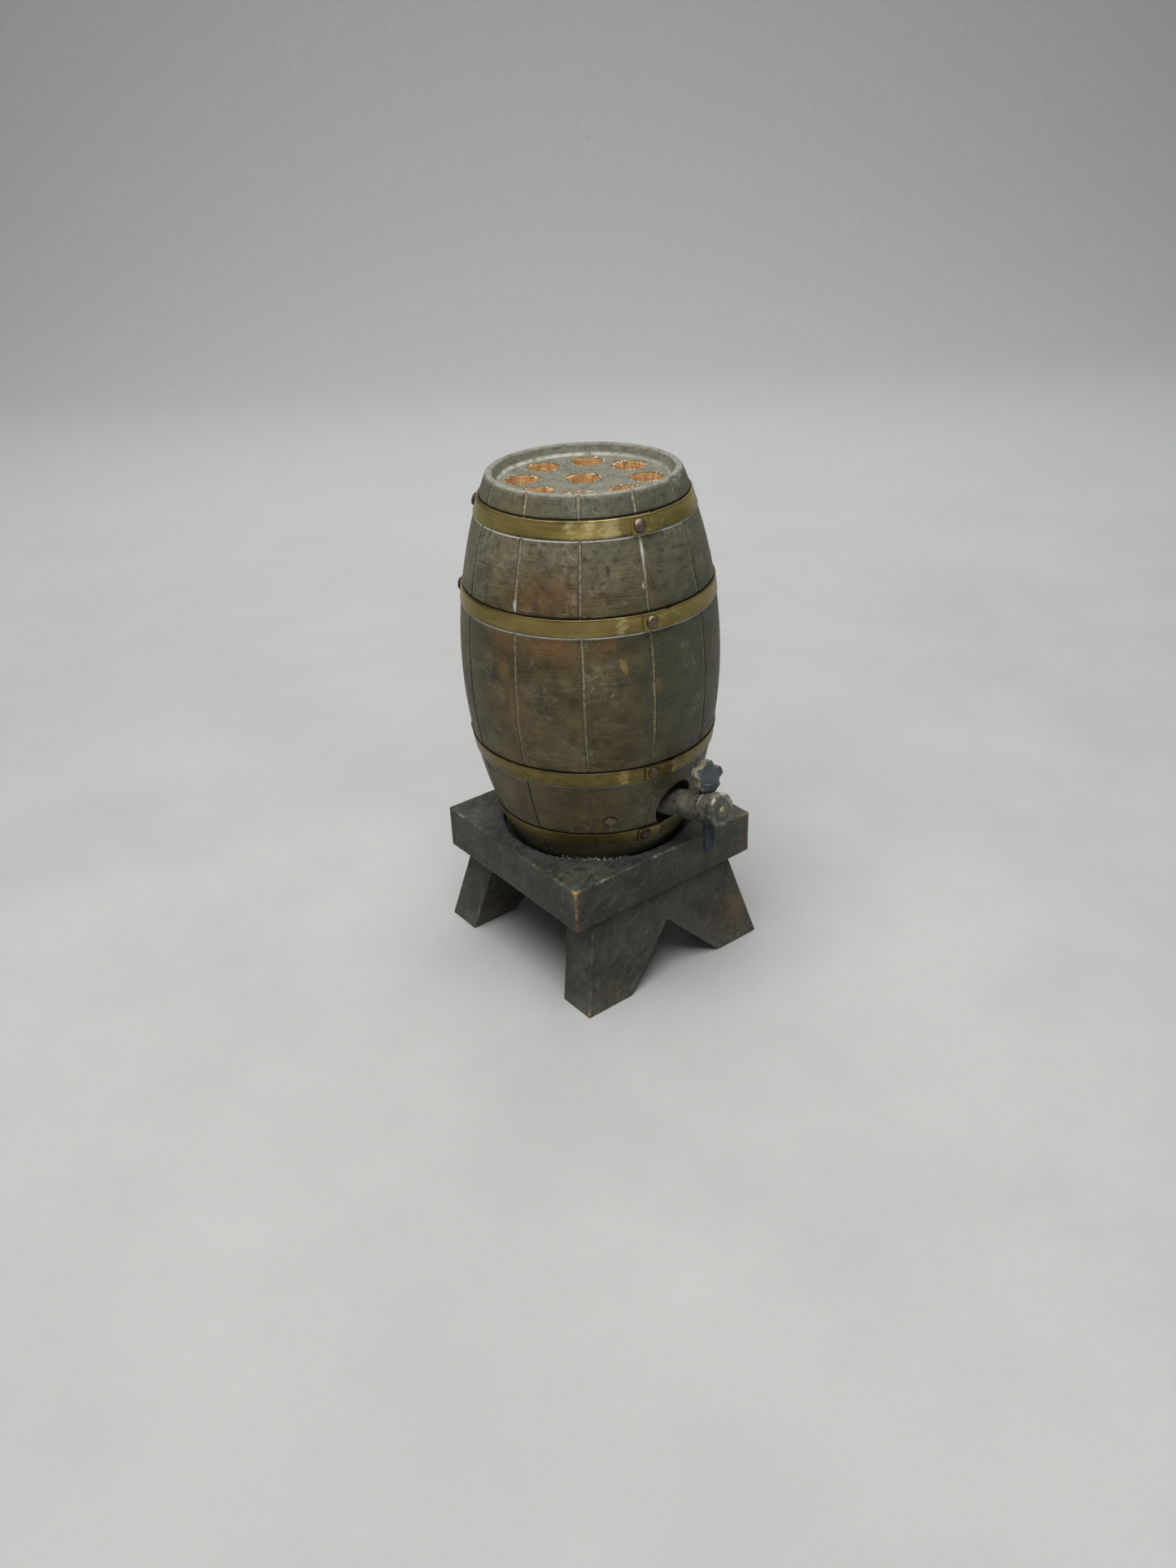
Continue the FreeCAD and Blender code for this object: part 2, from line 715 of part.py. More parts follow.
def add_stand_sizes():
    """Sizes of the stand that follow from others."""
    SIZES["stand_half_length"] = SIZES["stand_length"] / 2.0
    SIZES["stand_half_width"] = SIZES["stand_width"] / 2.0
    SIZES["plate_top"] = SIZES["plate_underside"] + SIZES["plate_thickness"]
    SIZES["peg_fixed_radius"] = SIZES["peg_radius"] + 0.02
    run = (SIZES["board_half_foot"] - SIZES["board_half_top"]) / SIZES["board_top"]
    SIZES["trim_top"] = SIZES["board_top"] + 1.0
    SIZES["trim_top_half"] = SIZES["board_half_top"] - run
    SIZES["trim_outside"] = SIZES["board_half_foot"] + 3.0
    SIZES["notch_bottom"] = 1.0
    notch_run = SIZES["board_notch_half"] / SIZES["board_notch_top"]
    SIZES["notch_bottom_half"] = SIZES["board_notch_half"] + notch_run
    SIZES["key_cut_width"] = SIZES["key_thickness"] + 2.0


def dowel_spots():
    """Plan positions of the four dowels: two in each leg board, front ones first."""
    spots = []
    for side in (-1.0, 1.0):
        for end in (-1.0, 1.0):
            spots.append((end * SIZES["dowel_spread"], side * SIZES["dowel_offset"]))
    return spots


def make_leg_board(name, side):
    """Splayed leg board: slanted faces, raked ends and an inverted V between its feet."""
    sign = "-" if side < 0 else ""
    body = new_body(name)
    section = new_sketch(body, name + "_section", "YZ_Plane")
    draw_outline(section, [
        (sign + "board_foot_inner", None),
        (sign + "board_foot_outer", None),
        (sign + "board_head_outer", "board_top"),
        (sign + "board_head_inner", "board_top"),
    ])
    pad_both_ways(body, section, name + "_block", "stand_length")
    trims = new_sketch(body, name + "_trims", "XZ_Plane")
    draw_outline(trims, [
        ("board_half_foot", None),
        ("trim_outside", None),
        ("trim_outside", "trim_top"),
        ("trim_top_half", "trim_top"),
    ])
    draw_outline(trims, [
        ("-board_half_foot", None),
        ("-trim_top_half", "trim_top"),
        ("-trim_outside", "trim_top"),
        ("-trim_outside", None),
    ])
    draw_outline(trims, [
        ("-notch_bottom_half", "-notch_bottom"),
        ("notch_bottom_half", "-notch_bottom"),
        (None, "board_notch_top"),
    ])
    pocket(body, trims, name + "_cuts", symmetric=True)
    for index, (across, along) in enumerate(dowel_spots()):
        if along * side > 0:
            spot = Placement(Vector(across, along, SIZES["dowel_foot"] - 0.2), Rotation())
            drill(body, "%s_dowel_hole_%d" % (name, index + 1), spot, "dowel_hole_radius", 20.0)
    return body


def make_dowels(name, side):
    """The two dowels that hold one leg board to the plate."""
    dowels = []
    for index, (across, along) in enumerate(dowel_spots()):
        if along * side > 0:
            dowel = DOCUMENT.addObject("Part::Cylinder", "%s_%d" % (name, index + 1))
            bind(dowel, "Radius", "dowel_radius")
            bind(dowel, "Height", "dowel_length")
            dowel.Placement = Placement(Vector(across, along, SIZES["dowel_foot"]), Rotation())
            dowels.append(dowel)
    return group(name, dowels)


def make_peg():
    """Upright peg, fixed in the plate, that the barrel turns on."""
    peg = DOCUMENT.addObject("Part::Cylinder", "pivot_peg")
    peg.Label = "pivot_peg"
    bind(peg, "Radius", "peg_radius")
    peg.Height = SIZES["peg_top"] - SIZES["peg_bottom"]
    peg.setExpression("Height", "Sizes.peg_top - Sizes.peg_bottom")
    peg.Placement = Placement(Vector(0, 0, SIZES["peg_bottom"]), Rotation())
    return peg


def check_document():
    """Stop if any object of the document failed to build."""
    DOCUMENT.recompute()
    for item in DOCUMENT.Objects:
        for bad in ("Invalid", "Error"):
            if bad in item.State:
                raise RuntimeError("%s is %s" % (item.Name, bad))


def write_nodes(nodes):
    """Write one STEP file for each node."""
    os.makedirs("parts", exist_ok=True)
    for node in nodes:
        shape = node.Shape
        if shape.isNull() or not shape.isValid() or not shape.Solids:
            raise RuntimeError("%s has no valid solid" % node.Label)
        shape.exportStep("parts/%s.step" % node.Label)
        box = shape.BoundBox
        print("%-18s solids %d  volume %9.1f  x %7.2f %7.2f  y %7.2f %7.2f  z %7.2f %7.2f" % (
            node.Label, len(shape.Solids), shape.Volume,
            box.XMin, box.XMax, box.YMin, box.YMax, box.ZMin, box.ZMax))


def main():
    """Build every piece and write it."""
    add_derived_sizes()
    add_tap_sizes()
    add_stand_sizes()
    make_sheet()
    nodes = [make_barrel()]
    for hoop in ("rim", "upper", "lower", "foot"):
        nodes.append(make_hoop(hoop, "hoop_" + hoop))
        nodes.append(make_hoop_nails(hoop, "nails_" + hoop))
    single = make_nail("stave_nail", stave_nail_spot())
    single.Label = "stave_nail"
    nodes.append(single)
    nodes += [make_tap_body(), make_tap_key(), make_spout(), make_end_plug()]
    nodes += [make_plate(), make_peg()]
    for name, side in (("front", -1.0), ("rear", 1.0)):
        nodes.append(make_leg_board("leg_board_" + name, side))
        nodes.append(make_dowels("dowels_" + name, side))
    check_document()
    write_nodes(nodes)


main()
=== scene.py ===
"""Looks of the small turned barrel on its stand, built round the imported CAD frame."""

import itertools
import math

import bmesh
import bpy
import numpy as np
from mathutils import Matrix, Vector


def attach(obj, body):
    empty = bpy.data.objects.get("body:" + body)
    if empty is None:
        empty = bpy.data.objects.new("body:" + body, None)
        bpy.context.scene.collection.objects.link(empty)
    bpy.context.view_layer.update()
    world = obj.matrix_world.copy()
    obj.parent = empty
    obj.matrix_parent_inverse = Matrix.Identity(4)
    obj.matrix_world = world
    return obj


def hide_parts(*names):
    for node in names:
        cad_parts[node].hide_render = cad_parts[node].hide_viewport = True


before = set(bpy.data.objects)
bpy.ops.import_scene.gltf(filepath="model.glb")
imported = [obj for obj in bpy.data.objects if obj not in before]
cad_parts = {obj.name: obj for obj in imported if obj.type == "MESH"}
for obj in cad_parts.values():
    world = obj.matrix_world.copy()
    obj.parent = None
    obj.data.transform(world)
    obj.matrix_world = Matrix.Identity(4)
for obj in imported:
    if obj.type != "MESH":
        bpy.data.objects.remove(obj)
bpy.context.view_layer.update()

MM = 0.001
FULL_TURN = 2.0 * math.pi
QUARTER_TURN = math.radians(90.0)

# ---------------------------------------------------------------- main sizes, millimetres
FOOT, FOOT_CORNER, MIDDLE = 59.3, 60.5, 140.5
RIM_CORNER, RIM_TOP, HEAD = 218.6, 220.5, 215.8
RIM_MIDDLE, RIM_ROUND, RIM_INNER = 37.9, 2.2, 36.9
BEVEL_TOP, HEAD_RADIUS, FOOT_FACE = 220.1, 34.2, 38.3
BULGE, CURVE = 55.2, 210.0
BARREL_TURN = math.radians(4.0)
KERF_COUNT, FIRST_KERF = 12, math.radians(15.0)
KERF_GAP = FULL_TURN / KERF_COUNT
KERF_HALF, KERF_DEPTH = 0.66, 0.42
HOOPS = {"rim": 208.3, "upper": 172.5, "lower": 106.3, "foot": 72.6}
HOOP_HALF, HOOP_THICK, REBATE, MARGIN = 3.3, 0.8, 0.35, 0.6
LAP_NAIL = math.radians(-105.0)
HOLE_RADIUS, HOLE_RING, HOLE_DEPTH, HOLE_COUNT = 6.2, 25.0, 45.0, 8
TAP_AZIMUTH, TAP_INNER = math.radians(-87.2), 24.0
TAP_LEVEL, TAP_TILT, TAP_ROLL = 84.0, math.radians(13.0), math.radians(11.0)
RECESS_RADIUS, RECESS_FLOOR, RECESS_OUTER = 10.1, -7.0, 8.0
KEY_OFFSET, KEY_CENTRE, KEY_TURN = 19.3, 13.7, math.radians(-18.0)
KNOB_RADIUS, KNOB_HALF, BITE_CENTRE, BITE_RADIUS = 6.7, 2.1, 8.1, 2.9
LOBE_GAP = FULL_TURN / 5
PLATE_X, PLATE_Y, PLATE_CORNER = 50.0, 48.0, 0.9
PLATE_TOP, PLATE_UNDER, SEAT_RADIUS, SEAT_FLOOR = 62.0, 42.0, 42.5, 59.0
BOARD_TOP, BOARD_FOOT, BOARD_SHOULDER, NOTCH_HALF, NOTCH_TOP = 41.97, 50.0, 39.2, 26.0, 26.5
BOARD_FACES, BOARD_LEAN = (53.8, 35.4), 8.5


def stave_radius(level):
    """Radius of the turned barrel at a height."""
    return BULGE - CURVE + np.sqrt(CURVE ** 2 - (np.asarray(level, float) - MIDDLE) ** 2)


def smooth(low, high, value):
    """Smooth step from 0 at low to 1 at high."""
    t = np.clip((np.asarray(value, float) - low) / (high - low), 0.0, 1.0)
    return t * t * (3.0 - 2.0 * t)


def peak(value, middle, width):
    """Bell shape, 1 at the middle."""
    return np.exp(-((value - middle) / width) ** 2)


def lattice(ix, iy, iz, seed):
    """Repeatable pseudo-random value from 0 to 1 at each whole-number point."""
    h = (ix * 374761393 + iy * 668265263 + iz * 2147483647 + seed * 1274126177) & 0xFFFFFFFF
    h = ((h ^ (h >> 13)) * 1274126177) & 0xFFFFFFFF
    h = ((h ^ (h >> 16)) * 2246822519) & 0xFFFFFFFF
    return ((h ^ (h >> 15)) & 0xFFFFFF) / float(0xFFFFFF)


def noise(points, scale, seed):
    """Smooth value noise from -1 to 1 at points in millimetres. scale is features per mm."""
    p = np.asarray(points, float) * scale
    base = np.floor(p).astype(np.int64)
    f = p - base
    f = f * f * (3.0 - 2.0 * f)
    total = np.zeros(len(p))
    for corner in itertools.product((0, 1), repeat=3):
        weight = np.prod(np.where(corner, f, 1.0 - f), axis=1)
        total += weight * lattice(*(base + corner).T, seed)
    return total * 2.0 - 1.0


def blobs(azimuth, level, spots):
    """Sum of soft patches on the barrel: azimuth deg, level mm, half width deg, half height mm, strength."""
    total = np.zeros(len(azimuth))
    for where, height, wide, tall, strength in spots:
        turn = (np.degrees(azimuth) - where + 180.0) % 360.0 - 180.0
        total += strength * np.exp(-(turn / wide) ** 2 - ((level - height) / tall) ** 2)
    return total


# ---------------------------------------------------------------- shader helper
class Shader:
    """One node material. Its colour is built up in self.color, one layer over the last."""

    def __init__(self, name):
        self.material = bpy.data.materials.new(name)
        self.material.use_nodes = True
        self.tree = self.material.node_tree
        self.place = self.node("TexCoord")["Object"]
        self.color = None

    def feed(self, value, socket):
        """Give a socket a link, a colour or a plain value."""
        if isinstance(value, bpy.types.NodeSocket):
            self.tree.links.new(value, socket)
        elif isinstance(value, tuple) and socket.type == "RGBA":
            socket.default_value = (*value, 1.0)
        else:
            socket.default_value = value

    def node(self, kind, inputs=None, **settings):
        """Outputs of a new node, with its settings made and its inputs fed."""
        made = self.tree.nodes.new("ShaderNode" + kind)
        for name, value in settings.items():
            setattr(made, name, value)
        for socket, value in (inputs or {}).items():
            self.feed(value, made.inputs[socket])
        return made.outputs

    def attribute(self, name, output="Fac"):
        """Number, or with output Vector the vector, that is painted on the mesh."""
        return self.node("Attribute", attribute_name=name)[output]

    def rotate(self, angles, source):
        return self.node("Mapping", {"Rotation": angles, "Vector": source})["Vector"]

    def stretch(self, x, y, z, source=None):
        """Coordinates scaled along each axis: features per metre."""
        return self.node("Mapping", {"Scale": (x, y, z), "Vector": source or self.place})["Vector"]

    def along(self, direction, length, width):
        """Coordinates whose features are `length` mm long along a direction and `width` mm across it."""
        x, y, z = direction
        turned = self.rotate((0.0, math.atan2(z, x), -math.atan2(y, math.hypot(x, z))), self.place)
        return self.stretch(1.0 / MM / length, 1.0 / MM / width, 1.0 / MM / width, turned)

    def noise(self, scale, detail, rough, source=None, distortion=0.0):
        inputs = {"Scale": scale, "Detail": detail, "Roughness": rough, "Distortion": distortion}
        return self.node("TexNoise", {**inputs, "Vector": source or self.place})["Fac"]

    def streaks(self, source, detail, rough):
        """Noise in coordinates that carry their own scale."""
        return self.noise(1.0, detail, rough, source)

    def span(self, value, low, high, least=0.0, most=1.0):
        """Smooth step of a value: least at low, most at high."""
        inputs = {"Value": value, "From Min": low, "From Max": high, "To Min": least, "To Max": most}
        return self.node("MapRange", inputs, interpolation_type="SMOOTHSTEP")["Result"]

    def math(self, operation, a, b=0.0):
        return self.node("Math", {0: a, 1: b}, operation=operation)[0]

    def plus(self, a, b):
        return self.math("ADD", a, b)

    def times(self, a, b):
        return self.math("MULTIPLY", a, b)

    def vector(self, operation, a, b=(0.0, 0.0, 0.0)):
        return self.node("VectorMath", {0: a, 1: b}, operation=operation)

    def mix(self, a, b, amount):
        return self.node("Mix", {"Factor": amount, "A": a, "B": b}, data_type="RGBA")["Result"]

    def cover(self, tone, mask):
        """Lay a tone over the colour where a mask is 1."""
        self.color = self.mix(self.color, tone, mask)

    def layer(self, tone, mask, low, high, most=1.0, within=None, least=0.0):
        """Lay a tone over the colour as a mask goes from low to high, inside another mask if given."""
        mask = self.span(mask, low, high, least, most)
        self.cover(tone, mask if within is None else self.times(within, mask))

    def spot(self, azimuth, level, half_width, half_height, slant):
        """Mask of one mark on the barrel's side, 1 inside; sizes in mm, its edge frayed by noise."""
        centre = (math.radians(azimuth) * BULGE * MM, level * MM, 0.0)
        moved = self.vector("SUBTRACT", self.attribute("strip", "Vector"), centre)["Vector"]
        turned = self.rotate((0.0, 0.0, math.radians(slant)), moved)
        sized = self.stretch(1.0 / (half_width * MM), 1.0 / (half_height * MM), 1.0, turned)
        fray = self.span(self.noise(1400.0, 3.0, 0.6), 0.3, 0.7, -0.35, 0.35)
        return self.span(self.plus(self.vector("LENGTH", sized)["Value"], fray), 1.15, 0.75)

    def bump(self, height, distance, strength):
        inputs = {"Strength": strength, "Distance": distance, "Height": height}
        return self.node("Bump", inputs)["Normal"]

    def done(self, roughness, normal, metallic=0.0, specular=0.5):
        """Wire up the surface and return the material."""
        surface = self.tree.nodes["Principled BSDF"].inputs
        surface["Specular IOR Level"].default_value = specular
        for name, value in (("Base Color", self.color), ("Roughness", roughness),
                            ("Metallic", metallic), ("Normal", normal)):
            self.feed(value, surface[name])
        return self.material


def scaled(tone, factor):
    """A colour made lighter or darker."""
    return tuple(min(1.0, part * factor) for part in tone)


# ---------------------------------------------------------------- materials
def stained_barrel():
    """Dark stain over turned wood: warm and cold patches, lathe lines, grain, scratches and dust, with painted
    light on the upper staves and head and painted shade at the hoops and in the kerfs.
    """
    s = Shader("barrel_stain")
    turning = s.streaks(s.stretch(75.0, 75.0, 2600.0), 4.0, 0.65)
    broad = s.streaks(s.stretch(55.0, 55.0, 520.0), 4.0, 0.6)
    grain = s.streaks(s.stretch(1300.0, 1300.0, 90.0), 5.0, 0.65)
    smudge = s.streaks(s.stretch(95.0, 95.0, 150.0), 7.0, 0.78)
    cloud = s.noise(62.0, 7.0, 0.66)
    patch = s.noise(26.0, 4.0, 0.6)
    mottle = s.noise(330.0, 5.0, 0.72)
    speck = s.noise(1600.0, 3.0, 0.7)
    warm, cold, upper = (s.attribute(name) for name in ("warm", "cold", "upper"))
    s.color = s.mix((0.045, 0.037, 0.014), (0.120, 0.100, 0.043), s.span(cloud, 0.32, 0.68))
    for row in (((0.066, 0.070, 0.046), patch, 0.30, 0.60, 0.95, cold, 0.35),
                # painted light: a paler mottle on the upper staves, where more light falls from above
                ((0.225, 0.200, 0.140), mottle, 0.32, 0.62, 0.36, upper, 0.10),
                ((0.178, 0.088, 0.033), cloud, 0.28, 0.54, 0.88, warm, 0.25),
                ((0.230, 0.165, 0.062), mottle, 0.55, 0.70, 0.45, warm),
                ((0.024, 0.020, 0.011), smudge, 0.50, 0.28, 0.50),
                ((0.175, 0.145, 0.082), smudge, 0.54, 0.76, 0.40),
                ((0.022, 0.019, 0.012), mottle, 0.45, 0.31, 0.50),
                ((0.215, 0.188, 0.112), mottle, 0.56, 0.74, 0.48),
                ((0.018, 0.015, 0.010), grain, 0.60, 0.76, 0.35),
                ((0.190, 0.165, 0.105), broad, 0.56, 0.78, 0.25),
                ((0.215, 0.190, 0.125), turning, 0.55, 0.76, 0.50),
                ((0.016, 0.013, 0.008), turning, 0.46, 0.30, 0.62),
                ((0.30, 0.28, 0.21), speck, 0.69, 0.78, 0.40)):
        s.layer(*row)
    add_scratches(s, mottle)
    add_marks(s)
    film = s.attribute("film")
    scrape = s.streaks(s.along((0.9, -0.42, 0.05), 9.0, 0.35), 5.0, 0.7)
    for row in (((0.142, 0.136, 0.104), s.noise(210.0, 6.0, 0.72), 0.30, 0.68, 1.0, film, 0.35),
                ((0.058, 0.045, 0.030), cloud, 0.52, 0.68, 0.70, film),
                ((0.28, 0.275, 0.235), scrape, 0.54, 0.72, 0.70, film),
                ((0.026, 0.025, 0.021), mottle, 0.48, 0.34, 0.75, film),
                ((0.46, 0.45, 0.39), speck, 0.60, 0.70, 0.70, film),
                ((0.52, 0.52, 0.46), s.noise(240.0, 4.0, 0.7), 0.34, 0.56, 0.95, s.attribute("crease"), 0.25)):
        s.layer(*row)
    kerf = s.attribute("kerf")
    s.layer(kerf_filling(s, speck, kerf), kerf, 0.06, 0.40)
    crumbly = s.span(s.noise(700.0, 4.0, 0.7), 0.30, 0.50, 0.45, 1.0)
    ledge = s.times(s.attribute("ledge"), crumbly)
    s.cover((0.80, 0.80, 0.75), ledge)
    s.cover((0.006, 0.005, 0.004), s.attribute("shade"))
    height = s.plus(s.times(turning, 0.8), s.times(grain, -0.4))
    height = s.plus(height, s.times(mottle, 0.5))
    height = s.plus(height, s.times(s.noise(900.0, 4.0, 0.7), s.times(kerf, 1.6)))
    dust = s.plus(film, s.plus(kerf, ledge))
    rough = s.plus(s.span(mottle, 0.35, 0.65, 0.40, 0.62), s.times(dust, 0.3))
    return s.done(rough, s.bump(height, 0.00020, 0.8), specular=0.28)


def add_scratches(s, mottle):
    """Thin pale curved strokes in places, and a scuffed haze where the barrel is rubbed."""
    rub = s.attribute("rub")
    places = s.math("MAXIMUM", s.span(s.noise(48.0, 2.0, 0.5), 0.50, 0.64), rub)
    for direction, shift in (((0.35, 0.2, 0.9), 3.0), ((0.8, -0.5, 0.35), 11.0), ((-0.5, 0.6, 0.6), 19.0)):
        run = s.along(direction, 14.0, 0.9)
        moved = s.vector("ADD", run, (shift, shift * 2.0, shift * 3.0))["Vector"]
        offset = s.math("SUBTRACT", s.noise(1.0, 1.0, 0.4, moved, 0.9), 0.5)
        line = s.times(s.span(s.math("ABSOLUTE", offset), 0.016, 0.004), places)
        s.layer((0.40, 0.37, 0.28), mottle, 0.42, 0.60, 0.65, line)
    s.layer((0.27, 0.245, 0.175), s.noise(520.0, 5.0, 0.75), 0.45, 0.68, 0.55, rub)


def add_marks(s):
    """Single marks on the front: stains, bare flecks, dark nicks and one white chip."""
    for tone, *place in (((0.33, 0.225, 0.085), -114.2, 156.2, 1.4, 3.1, -18.0),
                         ((0.17, 0.120, 0.050), -100.0, 146.0, 2.6, 3.0, 0.0),
                         ((0.17, 0.110, 0.042), -166.5, 152.0, 2.8, 4.2, 10.0),
                         ((0.030, 0.032, 0.026), -173.0, 147.5, 2.4, 3.4, 0.0),
                         ((0.012, 0.010, 0.008), -118.3, 193.6, 0.8, 1.5, 0.0),
                         ((0.012, 0.010, 0.009), -93.5, 190.0, 1.6, 0.35, 0.0),
                         ((0.62, 0.61, 0.55), -102.4, 186.4, 0.9, 1.3, 0.0),
                         ((0.008, 0.007, 0.006), -125.0, 83.6, 0.45, 0.65, 0.0),
                         ((0.036, 0.031, 0.028), -131.0, 169.5, 3.6, 4.0, 0.0),
                         ((0.105, 0.055, 0.028), -141.0, 184.0, 5.5, 2.6, 0.0)):
        s.cover(tone, s.times(s.spot(*place), 0.62))


def kerf_filling(s, speck, kerf):
    """Colour inside a kerf: painted shade at its sides, pale packed dust along its middle."""
    fill = s.mix((0.135, 0.115, 0.066), (0.310, 0.275, 0.180), s.span(s.noise(620.0, 5.0, 0.75), 0.36, 0.64))
    fill = s.mix(fill, (0.55, 0.52, 0.42), s.span(speck, 0.60, 0.70, 0.0, 0.7))
    packed = s.times(s.attribute("pack"), s.span(kerf, 0.62, 0.90))
    # painted shade: near-black where the kerf holds no packed dust, mostly along its sides
    return s.mix((0.020, 0.016, 0.010), fill, packed)


def raw_wood(name, light, dark, pale):
    """Freshly cut, torn wood with upright drill marks; in near-black tones it is the painted shade inside the
    tap's recess.
    """
    s = Shader(name)
    grain = s.streaks(s.stretch(1100.0, 1100.0, 110.0), 6.0, 0.7)
    rings = s.streaks(s.stretch(90.0, 90.0, 1500.0), 3.0, 0.5)
    s.color = s.mix(dark, light, s.span(grain, 0.32, 0.66))
    s.layer(scaled(dark, 0.5), grain, 0.40, 0.26, 0.6)
    s.layer(scaled(dark, 0.8), rings, 0.55, 0.72, 0.30)
    s.layer(pale, s.noise(650.0, 5.0, 0.7), 0.58, 0.72, 0.7)
    return s.done(0.78, s.bump(s.plus(grain, rings), 0.0004, 0.9), specular=0.25)


def aged_brass():
    """Brass strip gone olive, with rubbed bright places, a painted highlight on the rim hoop's front, and brown
    tarnish along the edges.
    """
    s = Shader("aged_brass")
    run = s.attribute("strip", "Vector")
    streak = s.streaks(s.stretch(28.0, 1500.0, 1.0, run), 4.0, 0.6)
    cloud = s.streaks(s.stretch(34.0, 90.0, 1.0, run), 4.0, 0.55)
    blot = s.streaks(s.stretch(190.0, 330.0, 1.0, run), 5.0, 0.68)
    fine = s.streaks(s.stretch(900.0, 1300.0, 1.0, run), 4.0, 0.7)
    tone = s.attribute("tone")
    rub = s.plus(s.attribute("rub"), s.span(blot, 0.3, 0.7, -0.42, 0.42))
    bright = s.mix((0.86, 0.73, 0.37), (0.40, 0.305, 0.100), tone)
    s.color = s.mix((0.320, 0.246, 0.070), (0.505, 0.408, 0.142), s.span(cloud, 0.30, 0.70))
    for row in (((0.080, 0.058, 0.015), blot, 0.25, 0.70, 0.70, tone, 1.0),
                ((0.54, 0.445, 0.195), streak, 0.54, 0.80, 0.45),
                ((0.095, 0.072, 0.028), blot, 0.58, 0.78, 0.40),
                ((0.110, 0.085, 0.034), fine, 0.56, 0.72, 0.40),
                # rubbed bright places, and on the rim hoop also a painted highlight
                (bright, rub, 0.35, 1.05, 0.80),
                ((0.085, 0.062, 0.024), cloud, 0.30, 0.60, 0.30, s.attribute("edge"), 0.80)):
        s.layer(*row)
    rough = s.plus(s.span(streak, 0.3, 0.75, 0.33, 0.47), s.span(blot, 0.55, 0.75, 0.0, 0.16))
    return s.done(rough, s.bump(s.plus(streak, s.times(fine, 0.5)), 0.00005, 0.6), metallic=0.85)


def nail_metal():
    """Dull brown copper-like nail heads, dark round their rims."""
    s = Shader("nail_metal")
    cloud = s.noise(700.0, 5.0, 0.65)
    s.color = s.mix((0.115, 0.080, 0.055), (0.24, 0.185, 0.135), s.span(cloud, 0.35, 0.68))
    s.layer((0.50, 0.44, 0.36), s.noise(1500.0, 3.0, 0.6), 0.64, 0.74, 0.5)
    s.cover((0.036, 0.028, 0.014), s.times(s.attribute("tone"), 0.85))
    s.cover((0.030, 0.022, 0.016), s.attribute("edge"))
    return s.done(s.span(cloud, 0.3, 0.7, 0.36, 0.56), s.bump(cloud, 0.0002, 0.6), metallic=0.75)


def worn_wood(name, tones, wear_tone, bare_tone, direction, gloss, contrast, stroke=1.0):
    """Stained wood with brushed grain, rubbed pale where its edges wear. tones are dark, middle, pale."""
    s = Shader(name)
    dark, middle, pale = tones
    grain = s.streaks(s.along(direction, 6.5 * stroke, 0.6), 5.0, 0.7)
    coarse = s.streaks(s.along(direction, 15.0 * stroke, 2.6), 5.0, 0.66)
    cloud = s.noise(52.0, 7.0, 0.68)
    mottle = s.noise(380.0, 5.0, 0.74)
    s.color = s.mix(dark, middle, s.span(cloud, 0.40, 0.60))
    for row in ((pale, coarse, 0.50, 0.72, 0.52 * contrast),
                (scaled(dark, 0.30), grain, 0.47, 0.30, 0.85),
                (scaled(pale, 1.35), grain, 0.55, 0.70, 0.60 * contrast),
                (scaled(dark, 0.30), mottle, 0.48, 0.33, 0.75),
                (scaled(pale, 1.8), s.noise(1500.0, 3.0, 0.65), 0.64, 0.76, 0.35),
                ((0.060, 0.068, 0.074), mottle, 0.35, 0.62, 0.75, s.attribute("cold"), 0.15),
                ((0.145, 0.096, 0.050), cloud, 0.36, 0.62, 0.90, s.attribute("warm"), 0.10),
                (wear_tone, s.noise(300.0, 5.0, 0.72), 0.46, 0.60, 1.0, s.attribute("wear")),
                (bare_tone, s.noise(420.0, 4.0, 0.7), 0.36, 0.50, 1.0, s.attribute("bare"), 0.15),
                ((0.46, 0.45, 0.41), s.noise(800.0, 4.0, 0.7), 0.44, 0.62, 1.0, s.attribute("film"))):
        s.layer(*row)
    s.cover((0.006, 0.006, 0.006), s.attribute("shade"))
    height = s.plus(s.times(grain, 0.9), s.times(mottle, 0.5))
    rough = s.span(mottle, 0.35, 0.65, gloss, gloss + 0.18)
    return s.done(rough, s.bump(height, 0.00020, 0.75), specular=0.38)


